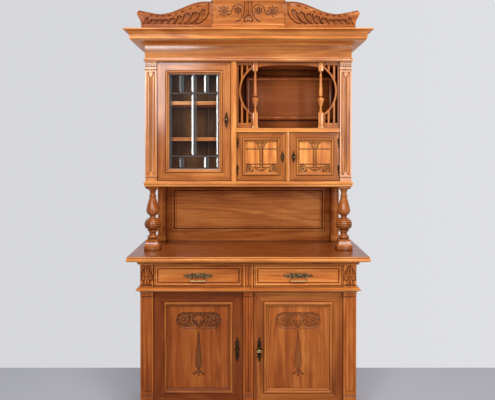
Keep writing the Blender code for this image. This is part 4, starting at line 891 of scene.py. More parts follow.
def wing_carving(u, v, inner, top):
    """Raised petals between dark lines, an arched hollow in each head, nicks, and a line under the edge."""
    depth = sizes().carving_depth * 1.35
    height = np.zeros(u.shape)
    dark = np.zeros(u.shape)
    drawn = [[wing_spot(*spot) for spot in line] for line in WING_LINES]
    for line, outer_line, arch in zip(drawn, drawn[1:], WING_ARCHES):
        cut = dome(vine(u, v, line, (0.0014, 0.0024, 0.0030, 0.0028, 0.0016)))
        r = 0.33 * np.linalg.norm(line[2] - outer_line[2])
        head = wing_spot(*arch) - np.array([0, r * 0.92])
        path = [head]
        for near, far in list(zip(line, outer_line))[::-1]:
            spot = near * 0.38 + far * 0.62
            if spot[1] < path[-1][1] - 0.003:
                path.append(spot)
        q = vine(u, v, path, [r * share for share in (0.92, 0.90, 0.72, 0.46, 0.20)])
        hollow = dome(q)
        height = np.minimum(height, np.minimum(-0.8 * depth * cut, -depth * hollow**0.8))
        # Each hollow is painted darker towards its head and along the upper rim of its arch: painted shade
        # under the arch
        fall = np.clip((head[1] - v) / max(head[1] - path[-1][1], 0.001), 0, 1)
        arched = dome((q - 0.82) / 0.30) * ease_in((v - head[1] + 0.35 * r) / (0.6 * r))
        dark = most(dark, 0.92 * cut**0.6, np.clip(hollow * 1.8, 0, 1) * (0.42 - 0.24 * fall), 0.95 * arched)
    for spot in WING_NICKS:
        nick = dome(petal(u, v, wing_spot(*spot), 0.0090, 0.0048, -66))
        height = np.minimum(height, -0.7 * depth * nick)
        floor = dome(petal(u, v, wing_spot(*spot), 0.0056, 0.0026, -66))
        dark = np.maximum(dark, 0.80 * nick * (1 - 0.7 * floor))
    border = dome((top - v - 0.0075) / 0.0020) * ease_in((v - 0.02) / 0.02)
    upright = dome((u - inner - 0.022) / 0.0022) * (v > 0.085) * (v < top - 0.0075)
    line = np.maximum(border * 0.6, upright)
    # The strip beside the tablet and the top edge are painted darker: painted shade
    strip = ease_in((inner + 0.016 - u) / 0.004)
    edge = ease_in((v - top + 0.0035) / 0.0030)
    height = np.minimum(height, -0.4 * depth * line)
    return height, np.clip(most(dark, 0.75 * line, 0.30 * strip, 0.55 * edge), 0, 1)


PALMETTE_RISES = (0.006, 0.016, 0.026, 0.034, 0.060, 0.085, 0.104, 0.112)
PALMETTE_WIDTHS = (0.029, 0.018, 0.014, 0.031, 0.0305, 0.023, 0.011, 0.002)
PALMETTE_LEAVES = (
    (1.0, (0.0060, 0.077), 0.029, 0.0068, 4),
    (0.95, (0.0165, 0.071), 0.020, 0.0050, 12),
    (0.95, (0.0205, 0.055), 0.016, 0.0050, 32),
    (0.95, (0.0205, 0.042), 0.012, 0.0050, 62),
    (1.0, (0.0085, 0.022), 0.016, 0.0062, -10),
    (0.9, (0.0225, 0.0115), 0.0100, 0.0044, -62),
    (0.7, (0.0, 0.014), 0.0070, 0.0030, 0),
)


def palmette_carving(u, v):
    """A pointed leaf of lobes on a spreading stem, for the blocks beside the drawers."""
    depth = sizes().carving_depth
    a = np.abs(u)
    wide = np.interp(v, PALMETTE_RISES, PALMETTE_WIDTHS)
    inside = ease_in((wide + 0.001 - a) / 0.002) * (v > 0.005) * (v < 0.113)
    swell = leaves(a, v, PALMETTE_LEAVES)
    edge = dome((a - wide - 0.0014) / 0.0026) * (v > 0.005) * (v < 0.114)
    height = -1.5 * depth * inside * (1 - swell) - 0.8 * depth * edge * (1 - inside)
    return height, np.clip(np.maximum(inside * np.clip(0.34 - 0.50 * swell, 0, 1), 0.30 * edge), 0, 1)


def carved_mesh(name, x, y, z, back, stain, keep=0.3, sharp=48):
    """A closed board from arrays of front points, with its darkening (staining, dust and painted shade) kept
    on its points and flat parts merged.
    """
    rows, cols = x.shape
    index = np.arange(rows * cols).reshape(rows, cols)
    quads = np.stack([index[:-1, :-1], index[:-1, 1:], index[1:, 1:], index[1:, :-1]], -1).reshape(-1, 4)
    rim = np.concatenate([index[0], index[1:, -1], index[-1, -2::-1], index[-2:0:-1, 0]])
    points = np.stack([x, y, z], -1).reshape(-1, 3)
    rear = points[rim].copy()
    rear[:, 1] = back
    low = rows * cols + np.arange(len(rim))
    walls = np.stack([np.roll(rim, -1), rim, low, np.roll(low, -1)], -1)
    dense = bpy.data.meshes.new(name)
    faces = [*quads.tolist(), *walls.tolist(), low[::-1].tolist()]
    dense.from_pydata(np.concatenate([points, rear]).tolist(), [], faces)
    values = np.concatenate([stain.reshape(-1), np.zeros(len(rim))]).astype(np.float32)
    dense.attributes.new("stain", "FLOAT", "POINT").data.foreach_set("value", values)
    item = linked(name, dense)
    item.modifiers.new("thin", "DECIMATE").ratio = keep
    mesh = settled(item)
    bpy.data.meshes.remove(dense)
    mesh.shade_smooth()
    mesh.set_sharp_from_angle(angle=math.radians(sharp))
    return mesh


def carved_board(name, low, high, carve, step=None):
    """A board between two corners whose front is carved by a function of x and z."""
    step = step or sizes().carving_step
    spans = [np.linspace(low[i], high[i], max(2, round((high[i] - low[i]) / step) + 1)) for i in (0, 2)]
    x, z = np.meshgrid(*spans)
    height, stain = carve(x, z)
    return carved_mesh(name, x, low[1] - height, z, high[1], stain)


# Cupboard and mouldings


def moulded(half, front, back, layers, hole=None):
    """A slab whose front and side edges follow (proud, z) points, with a flat back and maybe a hole."""
    rings = [rect_xy(-half - p, half + p, front - p, back, z) for p, z in layers]
    if hole is None:
        return skin(rings)
    rings += [rect_xy(*hole, layers[-1][1]), rect_xy(*hole, layers[0][1])]
    return skin(rings, endless=True)


def body_edges():
    """Half width, front and back of the cupboard's body."""
    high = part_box("lower_back")[1]
    return high.x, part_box("front_post_left")[0].y, high.y


def build_plinth():
    half, front, back = body_edges()
    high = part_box("plinth")[1]
    proud = high.x - half
    top = high.z
    rail = 0.06
    layers = section((
        (proud - 0.002, 0), (proud, 0.003), (proud, top - 0.042),
        (proud - 0.003, top - 0.036, 0.003, 0.006, -60, 90, 5),
        (0.001, top - 0.030, proud - 0.004, 0.024, 0, 80, 8),
        (0.001, top),
    ))
    bm = moulded(half, front, back, layers, (-half + rail, half - rail, front + rail, back - rail))
    place("plinth_moulding", bm, walnut(("wrap", half, front), key="body_round"), "case", "plinth")


def build_top():
    half, front, back = body_edges()
    low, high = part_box("buffet_top")
    bed_height = 0.024
    lip = high.x - half
    layers = section((
        (0.004, 0), (0.0065, 0.0008), (0.008, 0.0045, 0.005, 0.0036, -80, 80, 6),
        (0.0105, 0.0088), (0.0130, 0.0090), (0.0385, 0.0090, -0.0255, 0.0115, 4, 88, 8),
        (0.0400, 0.0208), (0.0400, bed_height),
    ), low.z)
    layers += section((
        (lip - 0.0120, 0), (lip - 0.0100, 0.0006), (lip - 0.0090, 0.0105, 0.0090, 0.0098, -78, 80, 10),
        (lip - 0.0064, 0.0206), (lip - 0.0046, 0.0213), (lip - 0.0042, 0.0250),
    ), low.z + bed_height)
    layers += [(lip - 0.0050, high.z - 0.0010), (lip - 0.0066, high.z)]
    # The moulded edge takes a lighter copy of the wood as a painted highlight, and the top face a darker one
    # as painted shadow under the upper cabinet
    edge = walnut(("wrap", half, front), key="top_round", shade=1.25)
    board = walnut("x", shade=0.46, polish=0.5, red=0.3)
    on_top = lambda face: face.center.z > high.z - 0.0012
    bm = moulded(half, front, back, layers)
    place("buffet_top_board", bm, (edge, board), "case", "buffet_top", second=on_top)


def build_waist():
    half, front, back = body_edges()
    low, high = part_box("waist_moulding")
    gap = sizes().gap
    p = high.x - half
    tall = high.z - low.z
    line = section((
        (gap, 0), (0.0040, 0), (0.0046, 0.0012), (p - 0.0035, 0.0012, -(p - 0.0085), 0.0072, 6, 88, 6),
        (p - 0.0030, 0.0090), (p - 0.0030, 0.0122, 0.0030, 0.0028, -80, 62, 5),
        (0.0070, 0.0222), (0.0050, 0.0232), (0.0035, tall), (gap, tall),
    ), low.z)
    rings = []
    for side, at_front in ((-1, False), (-1, True), (1, True), (1, False)):
        rings.append([(side * (half + q), front - q if at_front else back, z) for q, z in line])
    material = walnut(("wrap", half, front), key="body_round")
    place("waist_band", skin(rings), material, "case", "waist_moulding")


def reeds(x, z, middle, half_width, low, high, count=2):
    """Height of reeds with rounded ends, from 0 at the ground to 1."""
    x0 = middle - half_width
    pitch = (middle + half_width - x0) / count
    half = pitch * 0.46
    over = np.maximum(np.maximum(low + half - z, z - high + half), 0)
    return most(*(dome(np.hypot(x - (x0 + pitch * (i + 0.5)), over) / half) for i in range(count)))


def post_face(x0, x1, z0, waist, deck, palmette):
    """Carving of a front post: foot, reeds between flat margins, cap, and the block above the waist."""
    s = sizes()
    foot = z0 + s.post_foot
    cap = waist - s.post_cap
    middle = (x0 + x1) / 2
    half = (x1 - x0) / 2 - s.post_margin
    sunk = 0.0018

    def carve(x, z):
        inside = np.abs(x - middle) < half
        shaft = (z > foot) & (z < cap)
        slot = shaft & inside & (z > foot + 0.008) & (z < cap - 0.008)
        tall = reeds(x, z, middle, half, foot + 0.009, cap - 0.009)
        height = np.where(shaft, -sunk, 0.0)
        height = np.where(slot, -sunk - s.reed_rise * (1 - 0.95 * tall), height)
        stain = np.where(slot, 0.22 * (1 - tall) ** 1.5, 0.0)
        roll = dome((z - cap - 0.0125) / 0.0135) * (z > cap - 0.001) * (z < waist)
        height = np.where(roll > 0, -0.0040 * (1 - roll), height)
        cuts = ((cap - 0.002, 0.0045, 0.0024), (foot - 0.010, 0.0026, 0.0024), (foot - 0.018, 0.0014, 0.0024))
        height, stain = scored(height, stain, z, cuts, 0.75)
        above = z > deck
        if palmette:
            raised, shade = palmette_carving(x - middle, z - deck - 0.003)
        else:
            above = above & inside
            tall = reeds(x, z, middle, half, deck + 0.006, deck + 0.118)
            raised, shade = -s.reed_rise * 1.6 * (1 - tall), 0.25 * (1 - tall) ** 1.5
        return np.where(above, raised, height), np.where(above, shade, stain)

    return carve


# Shade of a post's shaft and of its block above the waist, which is lighter. The left post is darker than the
# right: painted shade, as the light falls from the right
POST_SHADES = {"left": (0.65, 0.85), "centre": (0.72, 1.2), "right": (0.75, 0.95)}


def build_posts():
    waist, deck = (corner.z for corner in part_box("waist_moulding"))
    for name, (shaft, block) in POST_SHADES.items():
        node = "front_post_" + name
        low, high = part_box(node)
        carve = post_face(low.x, high.x, low.z, waist, deck, name != "centre")
        mesh = carved_board(node + "_carved", low, high, carve, 0.0012)
        woods = (walnut("z", 1.0, shaft, red=0.6), walnut("z", 1.0, block, red=0.35))
        place(node + "_carved", mesh, woods, "case", node, second=lambda face: face.center.z > deck - 0.001)


def build_lower_boards():
    dress(walnut("z"), "lower_side_left", "lower_side_right")
    # The upper sides take painted shade in their recesses
    dress(walnut("z", sunk=True), "hutch_side_left", "hutch_side_right")
    dress(inner_wood("x"), "lower_floor", "lower_shelf", "drawer_deck")
    count = 7
    joint = 0.0004
    # The upper back is darker than the lower back: painted shade inside the upper cupboard
    for node, shade in (("lower_back", 1.0), ("hutch_back", 0.6)):
        low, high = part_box(node)
        bm = bmesh.new()
        wide = (high.x - low.x) / count
        for i in range(count):
            x0 = low.x + wide * i + joint
            eased_block(bm, (x0, low.y, low.z), (x0 + wide - 2 * joint, high.y, high.z), 0.0015)
        place(node + "_planks", bm, inner_wood("z", shade), "case", node, slot="inner_pine")


# Doors


def frame_profile(width, thick, panel_thick, lead):
    """Section of a mitred door frame as (inset, depth). The bead starts a little before the frame's width."""
    s = sizes()
    inner = width + s.bead_width
    start = width - lead
    wide = inner - start
    crest = start + wide * 0.36
    slope = crest + wide * 0.22
    shoulder = -s.bead_rise * 0.30
    swell = -s.bead_rise * 0.70
    low = s.panel_sink - s.gap
    deep = s.panel_sink + panel_thick + s.gap
    return section((
        (0, 0.0012), (0.0004, 0.0003), (0.0012, 0),
        (start - 0.0026, 0), (start - 0.0010, 0.0016), (start, 0.0006),
        (crest, shoulder, -(crest - start) * 0.95, swell, -10, 90, 6),
        (crest, shoulder, wide * 0.20, swell, 80, 0, 5),
        (slope, 0.0006),
        (inner - 0.001, 0.0012, -(inner - 0.001 - slope), low - 0.0032, 0, 90, 6),
        (inner, low - 0.0014), (inner, low), (inner - s.groove, low),
        (inner - s.groove, deep), (inner, deep), (inner, thick - 0.001), (inner - 0.001, thick),
        (0.001, thick), (0, thick - 0.001),
    ))


def build_frame(door, body, panel, width, thick, shade, lead=0.0, polish=0.12, red=0.0, bead=0.34):
    """A mitred door frame round the panel that it holds. Its bead takes a lighter copy of the wood, as a
    painted highlight.
    """
    s = sizes()
    low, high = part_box(panel)
    out = width + s.bead_width - s.groove + s.gap
    outside = (low.x - out, high.x + out, low.z - out, high.z + out)
    face = low.y - s.panel_sink
    profile = frame_profile(width, thick, high.y - low.y, lead)
    bm = skin([inset_xz(outside, inset, face + depth) for inset, depth in profile], endless=True)
    grain = ("frame", *outside)
    plain = walnut(grain, key=door, shade=shade, polish=polish, red=red)
    # Lighter copy for the bead: painted highlight
    brightened = walnut(grain, key=door + "_bead", shade=shade + bead, polish=polish)
    on_bead = lambda part: part.center.y < face - 0.0008
    place(door + "_moulded", bm, (plain, brightened), body, door, sharp=19, second=on_bead)
    return outside, face


def build_panel(panel, body, carve, drop, material, step=None):
    """A door panel whose carving is centred a drop below the panel's top edge."""
    low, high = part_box(panel)
    middle = centre(panel)[0]
    top = high.z - drop
    mesh = carved_board(panel + "_carved", low, high, lambda x, z: carve(x - middle, z - top), step)
    place(panel + "_carved", mesh, material, body, panel, slot="walnut_panel")


def build_lock(name, body, x, z, back):
    """The lock's case with its cap plate and screws on the inner side of a door."""
    bm = bmesh.new()
    eased_block(bm, (x - 0.013, back - 0.0005, z - 0.028), (x + 0.013, back + 0.0105, z + 0.028), 0.001)
    eased_block(bm, (x - 0.0115, back + 0.0100, z - 0.0265), (x + 0.0115, back + 0.0120, z + 0.0265), 0.0006)
    screw = [(0.0026, back + 0.0118), (0.0026, back + 0.0122), (0.0016, back + 0.0128)]
    for dz in (-0.022, 0.022):
        for dx in (-0.008, 0.008):
            lathed(screw, (x + dx, z + dz), 14, bm, axis="y")
    place_bronze(name, bm, body)


def build_pins(name, body, x, y, z0, z1):
    """The pivot pins on the ends of a door's hinge stile."""
    bm = bmesh.new()
    for z, way in ((z0, -1), (z1, 1)):
        pin = [(0.0039, z - way * 0.004), (0.0039, z + way * 0.0088), (0.0029, z + way * 0.0098)]
        lathed(pin, (x, y), 24, bm)
    place_bronze(name, bm, body)


# Right half of a key plate from its tip to its middle, as shares of half its height and width
POINTED_PLATE = ((1.0, 0.04), (0.93, 0.16), (0.86, 0.10), (0.62, 0.52), (0.34, 0.82), (0.0, 1.0))
LEAFY_PLATE = (
    (1.0, 0.04), (0.97, 0.22), (0.90, 0.34), (0.82, 0.33), (0.76, 0.29), (0.72, 0.36), (0.69, 0.66),
    (0.64, 0.74), (0.56, 0.70), (0.50, 0.58), (0.45, 0.62), (0.40, 0.72), (0.30, 0.74), (0.20, 0.62),
    (0.12, 0.70), (0.06, 0.84), (0.0, 1.0),
)
# Upper right quarter of a pull's plate as shares of half its width and height, and bosses with their radii
PULL_PLATE = (
    (0.0, 0.80), (0.06, 1.0), (0.12, 0.78), (0.20, 1.0), (0.27, 0.70), (0.32, 0.62), (0.37, 0.86),
    (0.44, 1.0), (0.51, 0.78), (0.55, 0.42), (0.60, 0.34), (0.65, 0.62), (0.73, 0.66), (0.80, 0.40),
    (0.84, 0.22), (0.89, 0.42), (0.95, 0.34), (1.0, 0.0),
)
PULL_BOSSES = (
    (0.20, 0.74, 0.0030), (0.44, 0.70, 0.0034), (0.58, 0.0, 0.0034), (0.84, 0.0, 0.0028), (0.92, 0.0, 0.0022),
)


def keyhole(x, z, size):
    """Outline of a keyhole: a round eye over a slot."""
    eye = arc((x, z), size, size, -60, 240, 14)
    return eye + [(x - size * 0.55, z - size * 2.6), (x + size * 0.55, z - size * 2.6)]


def build_key_plate(name, body, x, z, face, tall, wide, shape):
    """A pierced key plate with two screws and four leaf bosses."""
    s = sizes()
    upper = [(wide / 2 * w, tall / 2 * t) for t, w in shape]
    right = [tuple(p) for p in smooth_points(upper + [(px, -pz) for px, pz in reversed(upper[:-1])])]
    outline = [(x + px, z + pz) for px, pz in mirrored(right)]
    bm = flat_plate(outline, [keyhole(x, z, 0.0031)], s.plate, 0.0005, face - s.plate / 2 - s.gap)
    front = face - s.plate
    screw = [(0.0019, front), (0.0019, front - 0.0007), (0.0009, front - 0.0012)]
    leaf = [(wide * 0.20, front + 0.0003), (wide * 0.17, front - 0.0008), (wide * 0.07, front - 0.0014)]
    for head, sides, shares in ((screw, 12, (-0.36, 0.36)), (leaf, 14, (-0.29, -0.19, 0.19, 0.29))):
        for share in shares:
            lathed(head, (x, z + tall * share), sides, bm, axis="y")
    place_bronze(name, bm, body)


def build_lock_set(prefix, body, x, z, face, thick, tall, wide, shape):
    """A lock behind a door's stile and a key plate before it."""
    build_lock(prefix + "_lock", body, x, z, face + thick)
    build_key_plate(prefix + "_key_plate", body, x, z, face, tall, wide, shape)


# Shade and redness of a lower door's frame, staining and painted shade of its carving, and how much lighter
# its panel is. The left door is darker and redder, and its carving darker, than the right: painted shade, as
# the light falls from the right
LOWER_LOOKS = {"left": (0.36, 0.6, 1.06, 0.20), "right": (0.69, 0.1, 0.78, 0.08)}
PIVOT_INSET = 0.009
PIVOT_DEPTH = 0.005


def build_lower_doors():
    thick = 0.024
    key_x, _, key_z = centre("lower_key")
    for name, side in SIDES:
        prefix = "lower_" + name
        body = prefix + "_door"
        panel = prefix + "_panel"
        shade, red, stained, lighter = LOWER_LOOKS[name]
        outside, face = build_frame(
            prefix + "_frame", body, panel, sizes().lower_frame, thick, shade, 0.006, red=red
        )
        material = walnut("z", stained, shade + lighter, red=0.3 + 0.4 * red)
        build_panel(panel, body, lower_panel_carving, 0.0897, material)
        build_lock_set(prefix, body, side * key_x, key_z, face, thick, 0.130, 0.031, LEAFY_PLATE)
        pivot = outside[1 if side > 0 else 0] - side * PIVOT_INSET
        build_pins(prefix + "_pins", body, pivot, face + PIVOT_DEPTH, *outside[2:])


def build_small_doors():
    s = sizes()
    thick = 0.020
    key_z = centre("small_door_key")[2]
    radius = 0.0037
    for name, side in SIDES:
        prefix = "small_" + name
        body = prefix + "_door"
        panel = prefix + "_panel"
        outside, face = build_frame(prefix + "_frame", body, panel, s.small_frame, thick, 0.76, bead=0.14)
        build_panel(panel, body, small_panel_carving, s.groove, walnut("z", 1.0, 1.4), 0.0009)
        lock_x = outside[0 if side > 0 else 1] + side * 0.016
        build_lock_set(prefix, body, lock_x, key_z, face, thick, 0.070, 0.020, POINTED_PLATE)
        bm = bmesh.new()
        y = face - 0.004
        hinges = [f"{prefix}_hinge_{level}" for level in ("lower", "upper")]
        for hinge in hinges:
            low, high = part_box(hinge)
            x = low.x + radius if side < 0 else high.x - radius
            z = high.z - 0.0247
            knuckle = section((
                (0.0036, 0.0004), (radius, 0.001), (radius, 0.0240), (0.0034, 0.0250),
                (0.0, 0.0268, 0.0026, 0.0026, -50, 85, 5),
            ), z)
            lathed(knuckle, (x, y), 20, bm)
            near, far = sorted((x - side * 0.0025, x - side * 0.0074))
            eased_block(bm, (near, y + 0.0008, z + 0.0008), (far, face + 0.0045, z + 0.0245), 0.0004)
        place_bronze(prefix + "_knuckles", bm, body)
        dress(metal("bronze"), *hinges)


def build_glass_door():
    door = "glass_door"
    thick = 0.022
    outside, face = build_frame(
        door + "_frame", door, "glass_pane", sizes().glass_frame, thick, 0.83, polish=0.46, bead=0.14
    )
    key_x, _, key_z = centre("glass_door_key")
    build_lock_set(door, door, key_x, key_z, face, thick, 0.102, 0.021, POINTED_PLATE)
    build_pins(door + "_pins", door, outside[0] + PIVOT_INSET, face + PIVOT_DEPTH, *outside[2:])
    build_lights()


def light_spans(x0, x1, z0, z1):
    """The nine lights of the glass door: four above, two tall ones and three below."""
    wide = x1 - x0
    upper = z1 - sizes().upper_lights
    lower = z0 + sizes().lower_lights
    spans = []
    for low, high, cuts in (
        (upper, z1, (0, 0.25, 0.5, 0.75, 1)),
        (lower, upper, (0, 0.5, 1)),
        (z0, lower, (0, 0.25, 0.75, 1)),
    ):
        spans += [(x0 + wide * a, x0 + wide * b, low, high) for a, b in zip(cuts, cuts[1:])]
    return spans


def build_lights():
    """Bevelled lights between rounded lead cames."""
    s = sizes()
    low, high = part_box("glass_pane")
    (x0, _, z0), (x1, _, z1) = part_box("came_lattice")
    clear = finish("clear_glass", pane_glass, colours().glass, 0.02, 1.15, 0.02)
    bevelled = finish("bevelled_glass", pane_glass, colours().glass, 0.66, 2.0, 0.07)
    edge = 0.0012
    front = low.y + 0.0002
    bm = bmesh.new()
    spans = light_spans(x0, x1, z0, z1)
    steps = ((edge, high.y - 0.0001), (edge, front + s.bevel_depth), (edge + s.glass_bevel, front))
    for span in spans:
        skin([inset_xz(span, inset, y) for inset, y in steps], bm=bm)
    on_upright = lambda face: min(abs(face.normal.x), abs(face.normal.y)) > 0.1
    panes = (clear, bevelled)
    place("bevelled_lights", bm, panes, "glass_door", "glass_pane", slot="glass", sharp=5, second=on_upright)
    y = low.y - 0.0005
    rim = 0.0025
    levels = (z0 + rim, z0 + s.lower_lights, z1 - s.upper_lights, z1 - rim)
    runs = [((x0 + rim, z), (x1 - rim, z)) for z in levels]
    runs += [((x, z0 + rim), (x, z1 - rim)) for x in (x0 + rim, x1 - rim)]
    runs += [((x, lo), (x, hi)) for x, lo, hi in sorted({(a, lo, hi) for a, _, lo, hi in spans if a > x0})]
    came = arc((0, 0), 0.0027, -0.0021, 0, 180, 6) + [(-0.0027, 0.0012), (0.0027, 0.0012)]
    cames = bmesh.new()
    for (xa, za), (xb, zb) in runs:
        if xa == xb:
            rings = [[(xa + p, y + q, z) for p, q in came] for z in (za, zb)]
        else:
            rings = [[(x, y + q, za + p) for p, q in came] for x in (xa, xb)]
        skin(rings, bm=cames)
    place("lead_cames", cames, metal("lead"), "glass_door", "came_lattice", slot="lead")


# Drawers


def build_drawers():
    wall = 0.012
    profile = section((
        (0, 0.021), (0, 0.0030), (0.0030, 0.0004), (0.0072, 0), (0.0086, 0.0046), (0.0104, 0.0008),
        (0.0125, 0.0050, 0.0070, -0.0048, 100, 0, 7), (0.0200, 0.0100), (0.0250, 0.0104), (0.0262, 0.0060),
    ))
    for name, side in SIDES:
        node = name + "_drawer"
        low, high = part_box(node)
        outside = (low.x, high.x, low.z, high.z)
        bm = skin([inset_xz(outside, inset, low.y + depth) for inset, depth in profile])
        # The left drawer front is darker than the right: painted shade, as the light falls from the right
        place(node + "_front", bm, walnut("x", shade=1.32 + side * 0.18, red=0.35), node, node, sharp=19)
        box = bmesh.new()
        rim = high.z - 0.020
        start = low.y + 0.0205
        left, right = low.x + wall, high.x - wall
        for lo, hi in (
            ((low.x + 0.001, start, low.z), (left, high.y, rim)),
            ((right, start, low.z), (high.x - 0.001, high.y, rim)),
            ((left, high.y - wall, low.z + 0.008), (right, high.y - 0.001, rim - 0.006)),
            ((left - 0.004, start, low.z + 0.0005), (right + 0.004, high.y - 0.002, low.z + 0.008)),
        ):
            eased_block(box, lo, hi, 0.001)
        place(node + "_box", box, inner_wood("y"), node, slot="inner_pine")
        build_pull(name)


def build_pull(name):
    """A pierced back plate with two posts and a square-shouldered bail."""
    drawer = name + "_drawer"
    low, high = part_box(name + "_pull_plate")
    x, _, z = centre(name + "_pull_plate")
    wide = (high.x - low.x) / 2
    tall = (high.z - low.z) / 2
    eye = (x, z + 0.002)
    post = 0.034
    quarter = [tuple(p) for p in smooth_points([(wide * u, tall * v) for u, v in PULL_PLATE])]
    right = quarter + [(px, -pz) for px, pz in reversed(quarter[:-1])]
    outline = right + [(-px, pz) for px, pz in reversed(right[1:-1])]
    holes = [keyhole(*eye, 0.0034)]
    for side in (-1, 1):
        for share, half_width, half_height in ((0.70, 0.0056, 0.0022), (0.19, 0.0030, 0.0052)):
            holes.append(arc((x + side * wide * share, z), half_width, half_height, 0, 360, 12)[:-1])
    bm = flat_plate([(x + px, z + pz) for px, pz in outline], holes, 0.0020, 0.0006, high.y - 0.0010)
    well = flat_plate(keyhole(*eye, 0.0033), [], 0.0004, 0.0001, high.y - 0.0004)
    place_bronze(name + "_pull_keyhole", well, drawer)
    bail_low, bail_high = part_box(name + "_bail")
    y = bail_low.y + (bail_high.y - bail_low.y) / 2
    front = high.y - 0.002
    for side in (-1, 1):
        for share, rise, radius in PULL_BOSSES:
            boss = [(radius, front + 0.0004)]
            boss += [(radius * 0.8, front - radius * 0.30), (radius * 0.3, front - radius * 0.45)]
            for up in (-1, 1) if rise else (1,):
                lathed(boss, (x + side * wide * share, z + up * rise * tall), 14, bm, axis="y")
        steps = ((0.0062, -0.0005), (0.0062, 0.0012), (0.0046, 0.0026), (0.0046, 0.0040))
        stem = [(radius, front - out) for radius, out in steps]
        stem += arc((0.0, y), 0.0052, 0.0058, 50, -86, 8)
        lathed(stem, (x + side * post, z), 20, bm, axis="y")
    place(name + "_pull_back", bm, metal("rubbed_bronze"), drawer, name + "_pull_plate", slot="bronze")
    reach = (bail_high.x - bail_low.x) / 2 - 0.0024
    drop = z - bail_low.z - 0.0024
    right = section((
        (0.0401, 0.0), (reach - 0.0015, -0.0008), (reach, -0.0035), (reach + 0.0004, -drop * 0.5),
        (reach - 0.006, -drop + 0.006, 0.006, 0.006, 0, -90, 5),
        (reach * 0.5, -drop - 0.0003), (0.0, -drop - 0.0006),
    ))
    path = right + [(-px, pz) for px, pz in reversed(right[:-1])]
    shares = np.linspace(-1, 1, len(path))
    radii = np.interp(shares, [-1, -0.55, 0, 0.55, 1], [0.0019, 0.0023, 0.0032, 0.0023, 0.0019])
    bail = tube([(x + px, y, z + pz) for px, pz in path], radii, 14)
    node = name + "_bail"
    place(node + "_grip", bail, metal("rubbed_brass"), node, node, slot="brass", sharp=60)


# Gallery and upper cabinet


def build_gallery():
    low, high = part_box("gallery_back")
    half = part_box("hutch_side_right")[0].x
    z0, z1 = low.z, high.z
    face = high.y - 0.020
    board = (-half, half, z0, z1)
    wide = half - 0.0835
    field = (-wide, wide, z0 + 0.062, z1 - 0.031)
    profile = (
        (0.0008, -0.0045), (0.0034, -0.0088), (0.0076, -0.0090), (0.0106, -0.0054), (0.0112, 0.0008),
        (0.0125, 0.0032), (0.0150, 0.0032), (0.0165, 0.0002), (0.0205, -0.0030), (0.0245, -0.0012),
        (0.0264, 0.0042),
    )
    rings = [inset_xz(board, 0, high.y), inset_xz(board, 0, face), inset_xz(field, 0, face)]
    bm = skin(rings + [inset_xz(field, inset, face + depth) for inset, depth in profile])
    skirt = ((0.012, 0), (0.012, 0.010), (0.009, 0.013), (0.009, 0.016), (0.004, 0.022), (0, 0.024))
    line = [(face - out, z0 + up) for out, up in (*skirt, (-0.004, 0.024), (-0.004, 0))]
    skin([[(x, y, z) for y, z in line] for x in (-half, half)], bm=bm)
    for side in (-1, 1):
        x0, x1 = sorted((side * half, side * (half - 0.046)))
        for inset, ahead, behind, up, top, ease in (
            (0, 0.032, 0.010, 0, z1, 0.0015),
            (0.012, 0.0345, -0.030, 0.055, z1 - 0.030, 0.0022),
            (-0.0027, 0.0347, 0.006, 0, z0 + 0.030, 0.0015),
            (-0.0012, 0.0335, 0.006, 0.030, z0 + 0.037, 0.0018),
        ):
            eased_block(bm, (x0 + inset, face - ahead, z0 + up), (x1 - inset, face + behind, top), ease)

    def in_field(part):
        x, y, z = part.center
        return field[0] < x < field[1] and field[2] < z < field[3] and y < high.y - 0.001

    woods = (walnut("x", shade=0.84, red=0.3), walnut("x", shade=1.12, polish=0.3))
    place("gallery_panel", bm, woods, "case", "gallery_back", second=in_field)
    for name, _ in SIDES:
        build_column(name)


COLUMN_TURNINGS = (
    ((0.0262, 0.060), (0.0270, 0.064), (0.0298, 0.069), (0.0302, 0.073), (0.0288, 0.078), (0.0258, 0.080)),
    ((0.0212, 0.0812), (0.0196, 0.0850), (0.0192, 0.0920), (0.0208, 0.0990), (0.0240, 0.1030)),
    ((0.0284, 0.1045), (0.0298, 0.1075), (0.0290, 0.1110), (0.0262, 0.1130)),
    ((0.0240, 0.1140), (0.0330, 0.1200), (0.0415, 0.1265), (0.0452, 0.1315)),
    ((0.0418, 0.1322), (0.0418, 0.1340), (0.0456, 0.1350), (0.0472, 0.1390), (0.0470, 0.1428)),
    ((0.0432, 0.1436), (0.0432, 0.1456), (0.0472, 0.1466), (0.0468, 0.1515), (0.0452, 0.1546)),
    ((0.0416, 0.1554), (0.0412, 0.1574), (0.0440, 0.1584), (0.0418, 0.1640), (0.0394, 0.1664)),
    ((0.0356, 0.1672), (0.035, 0.169), (0.0362, 0.170), (0.030, 0.1755), (0.024, 0.179), (0.019, 0.1812)),
    ((0.0166, 0.1822), (0.0160, 0.1870), (0.0172, 0.1930)),
    ((0.0186, 0.1936), (0.0262, 0.199), (0.033, 0.2085), (0.036, 0.221), (0.0352, 0.233), (0.0318, 0.248)),
    ((0.0318, 0.2481), (0.0278, 0.2640), (0.0222, 0.2830), (0.0168, 0.3005)),
    ((0.0192, 0.3012), (0.0216, 0.3040), (0.0214, 0.3070), (0.0188, 0.3092)),
    ((0.0166, 0.3100), (0.0160, 0.3180), (0.0166, 0.3285)),
    ((0.0178, 0.3295), (0.0196, 0.3350), (0.0232, 0.3400), (0.0275, 0.3450)),
)
GADROONS = (0.114, 0.1325, 14, 0.0060)


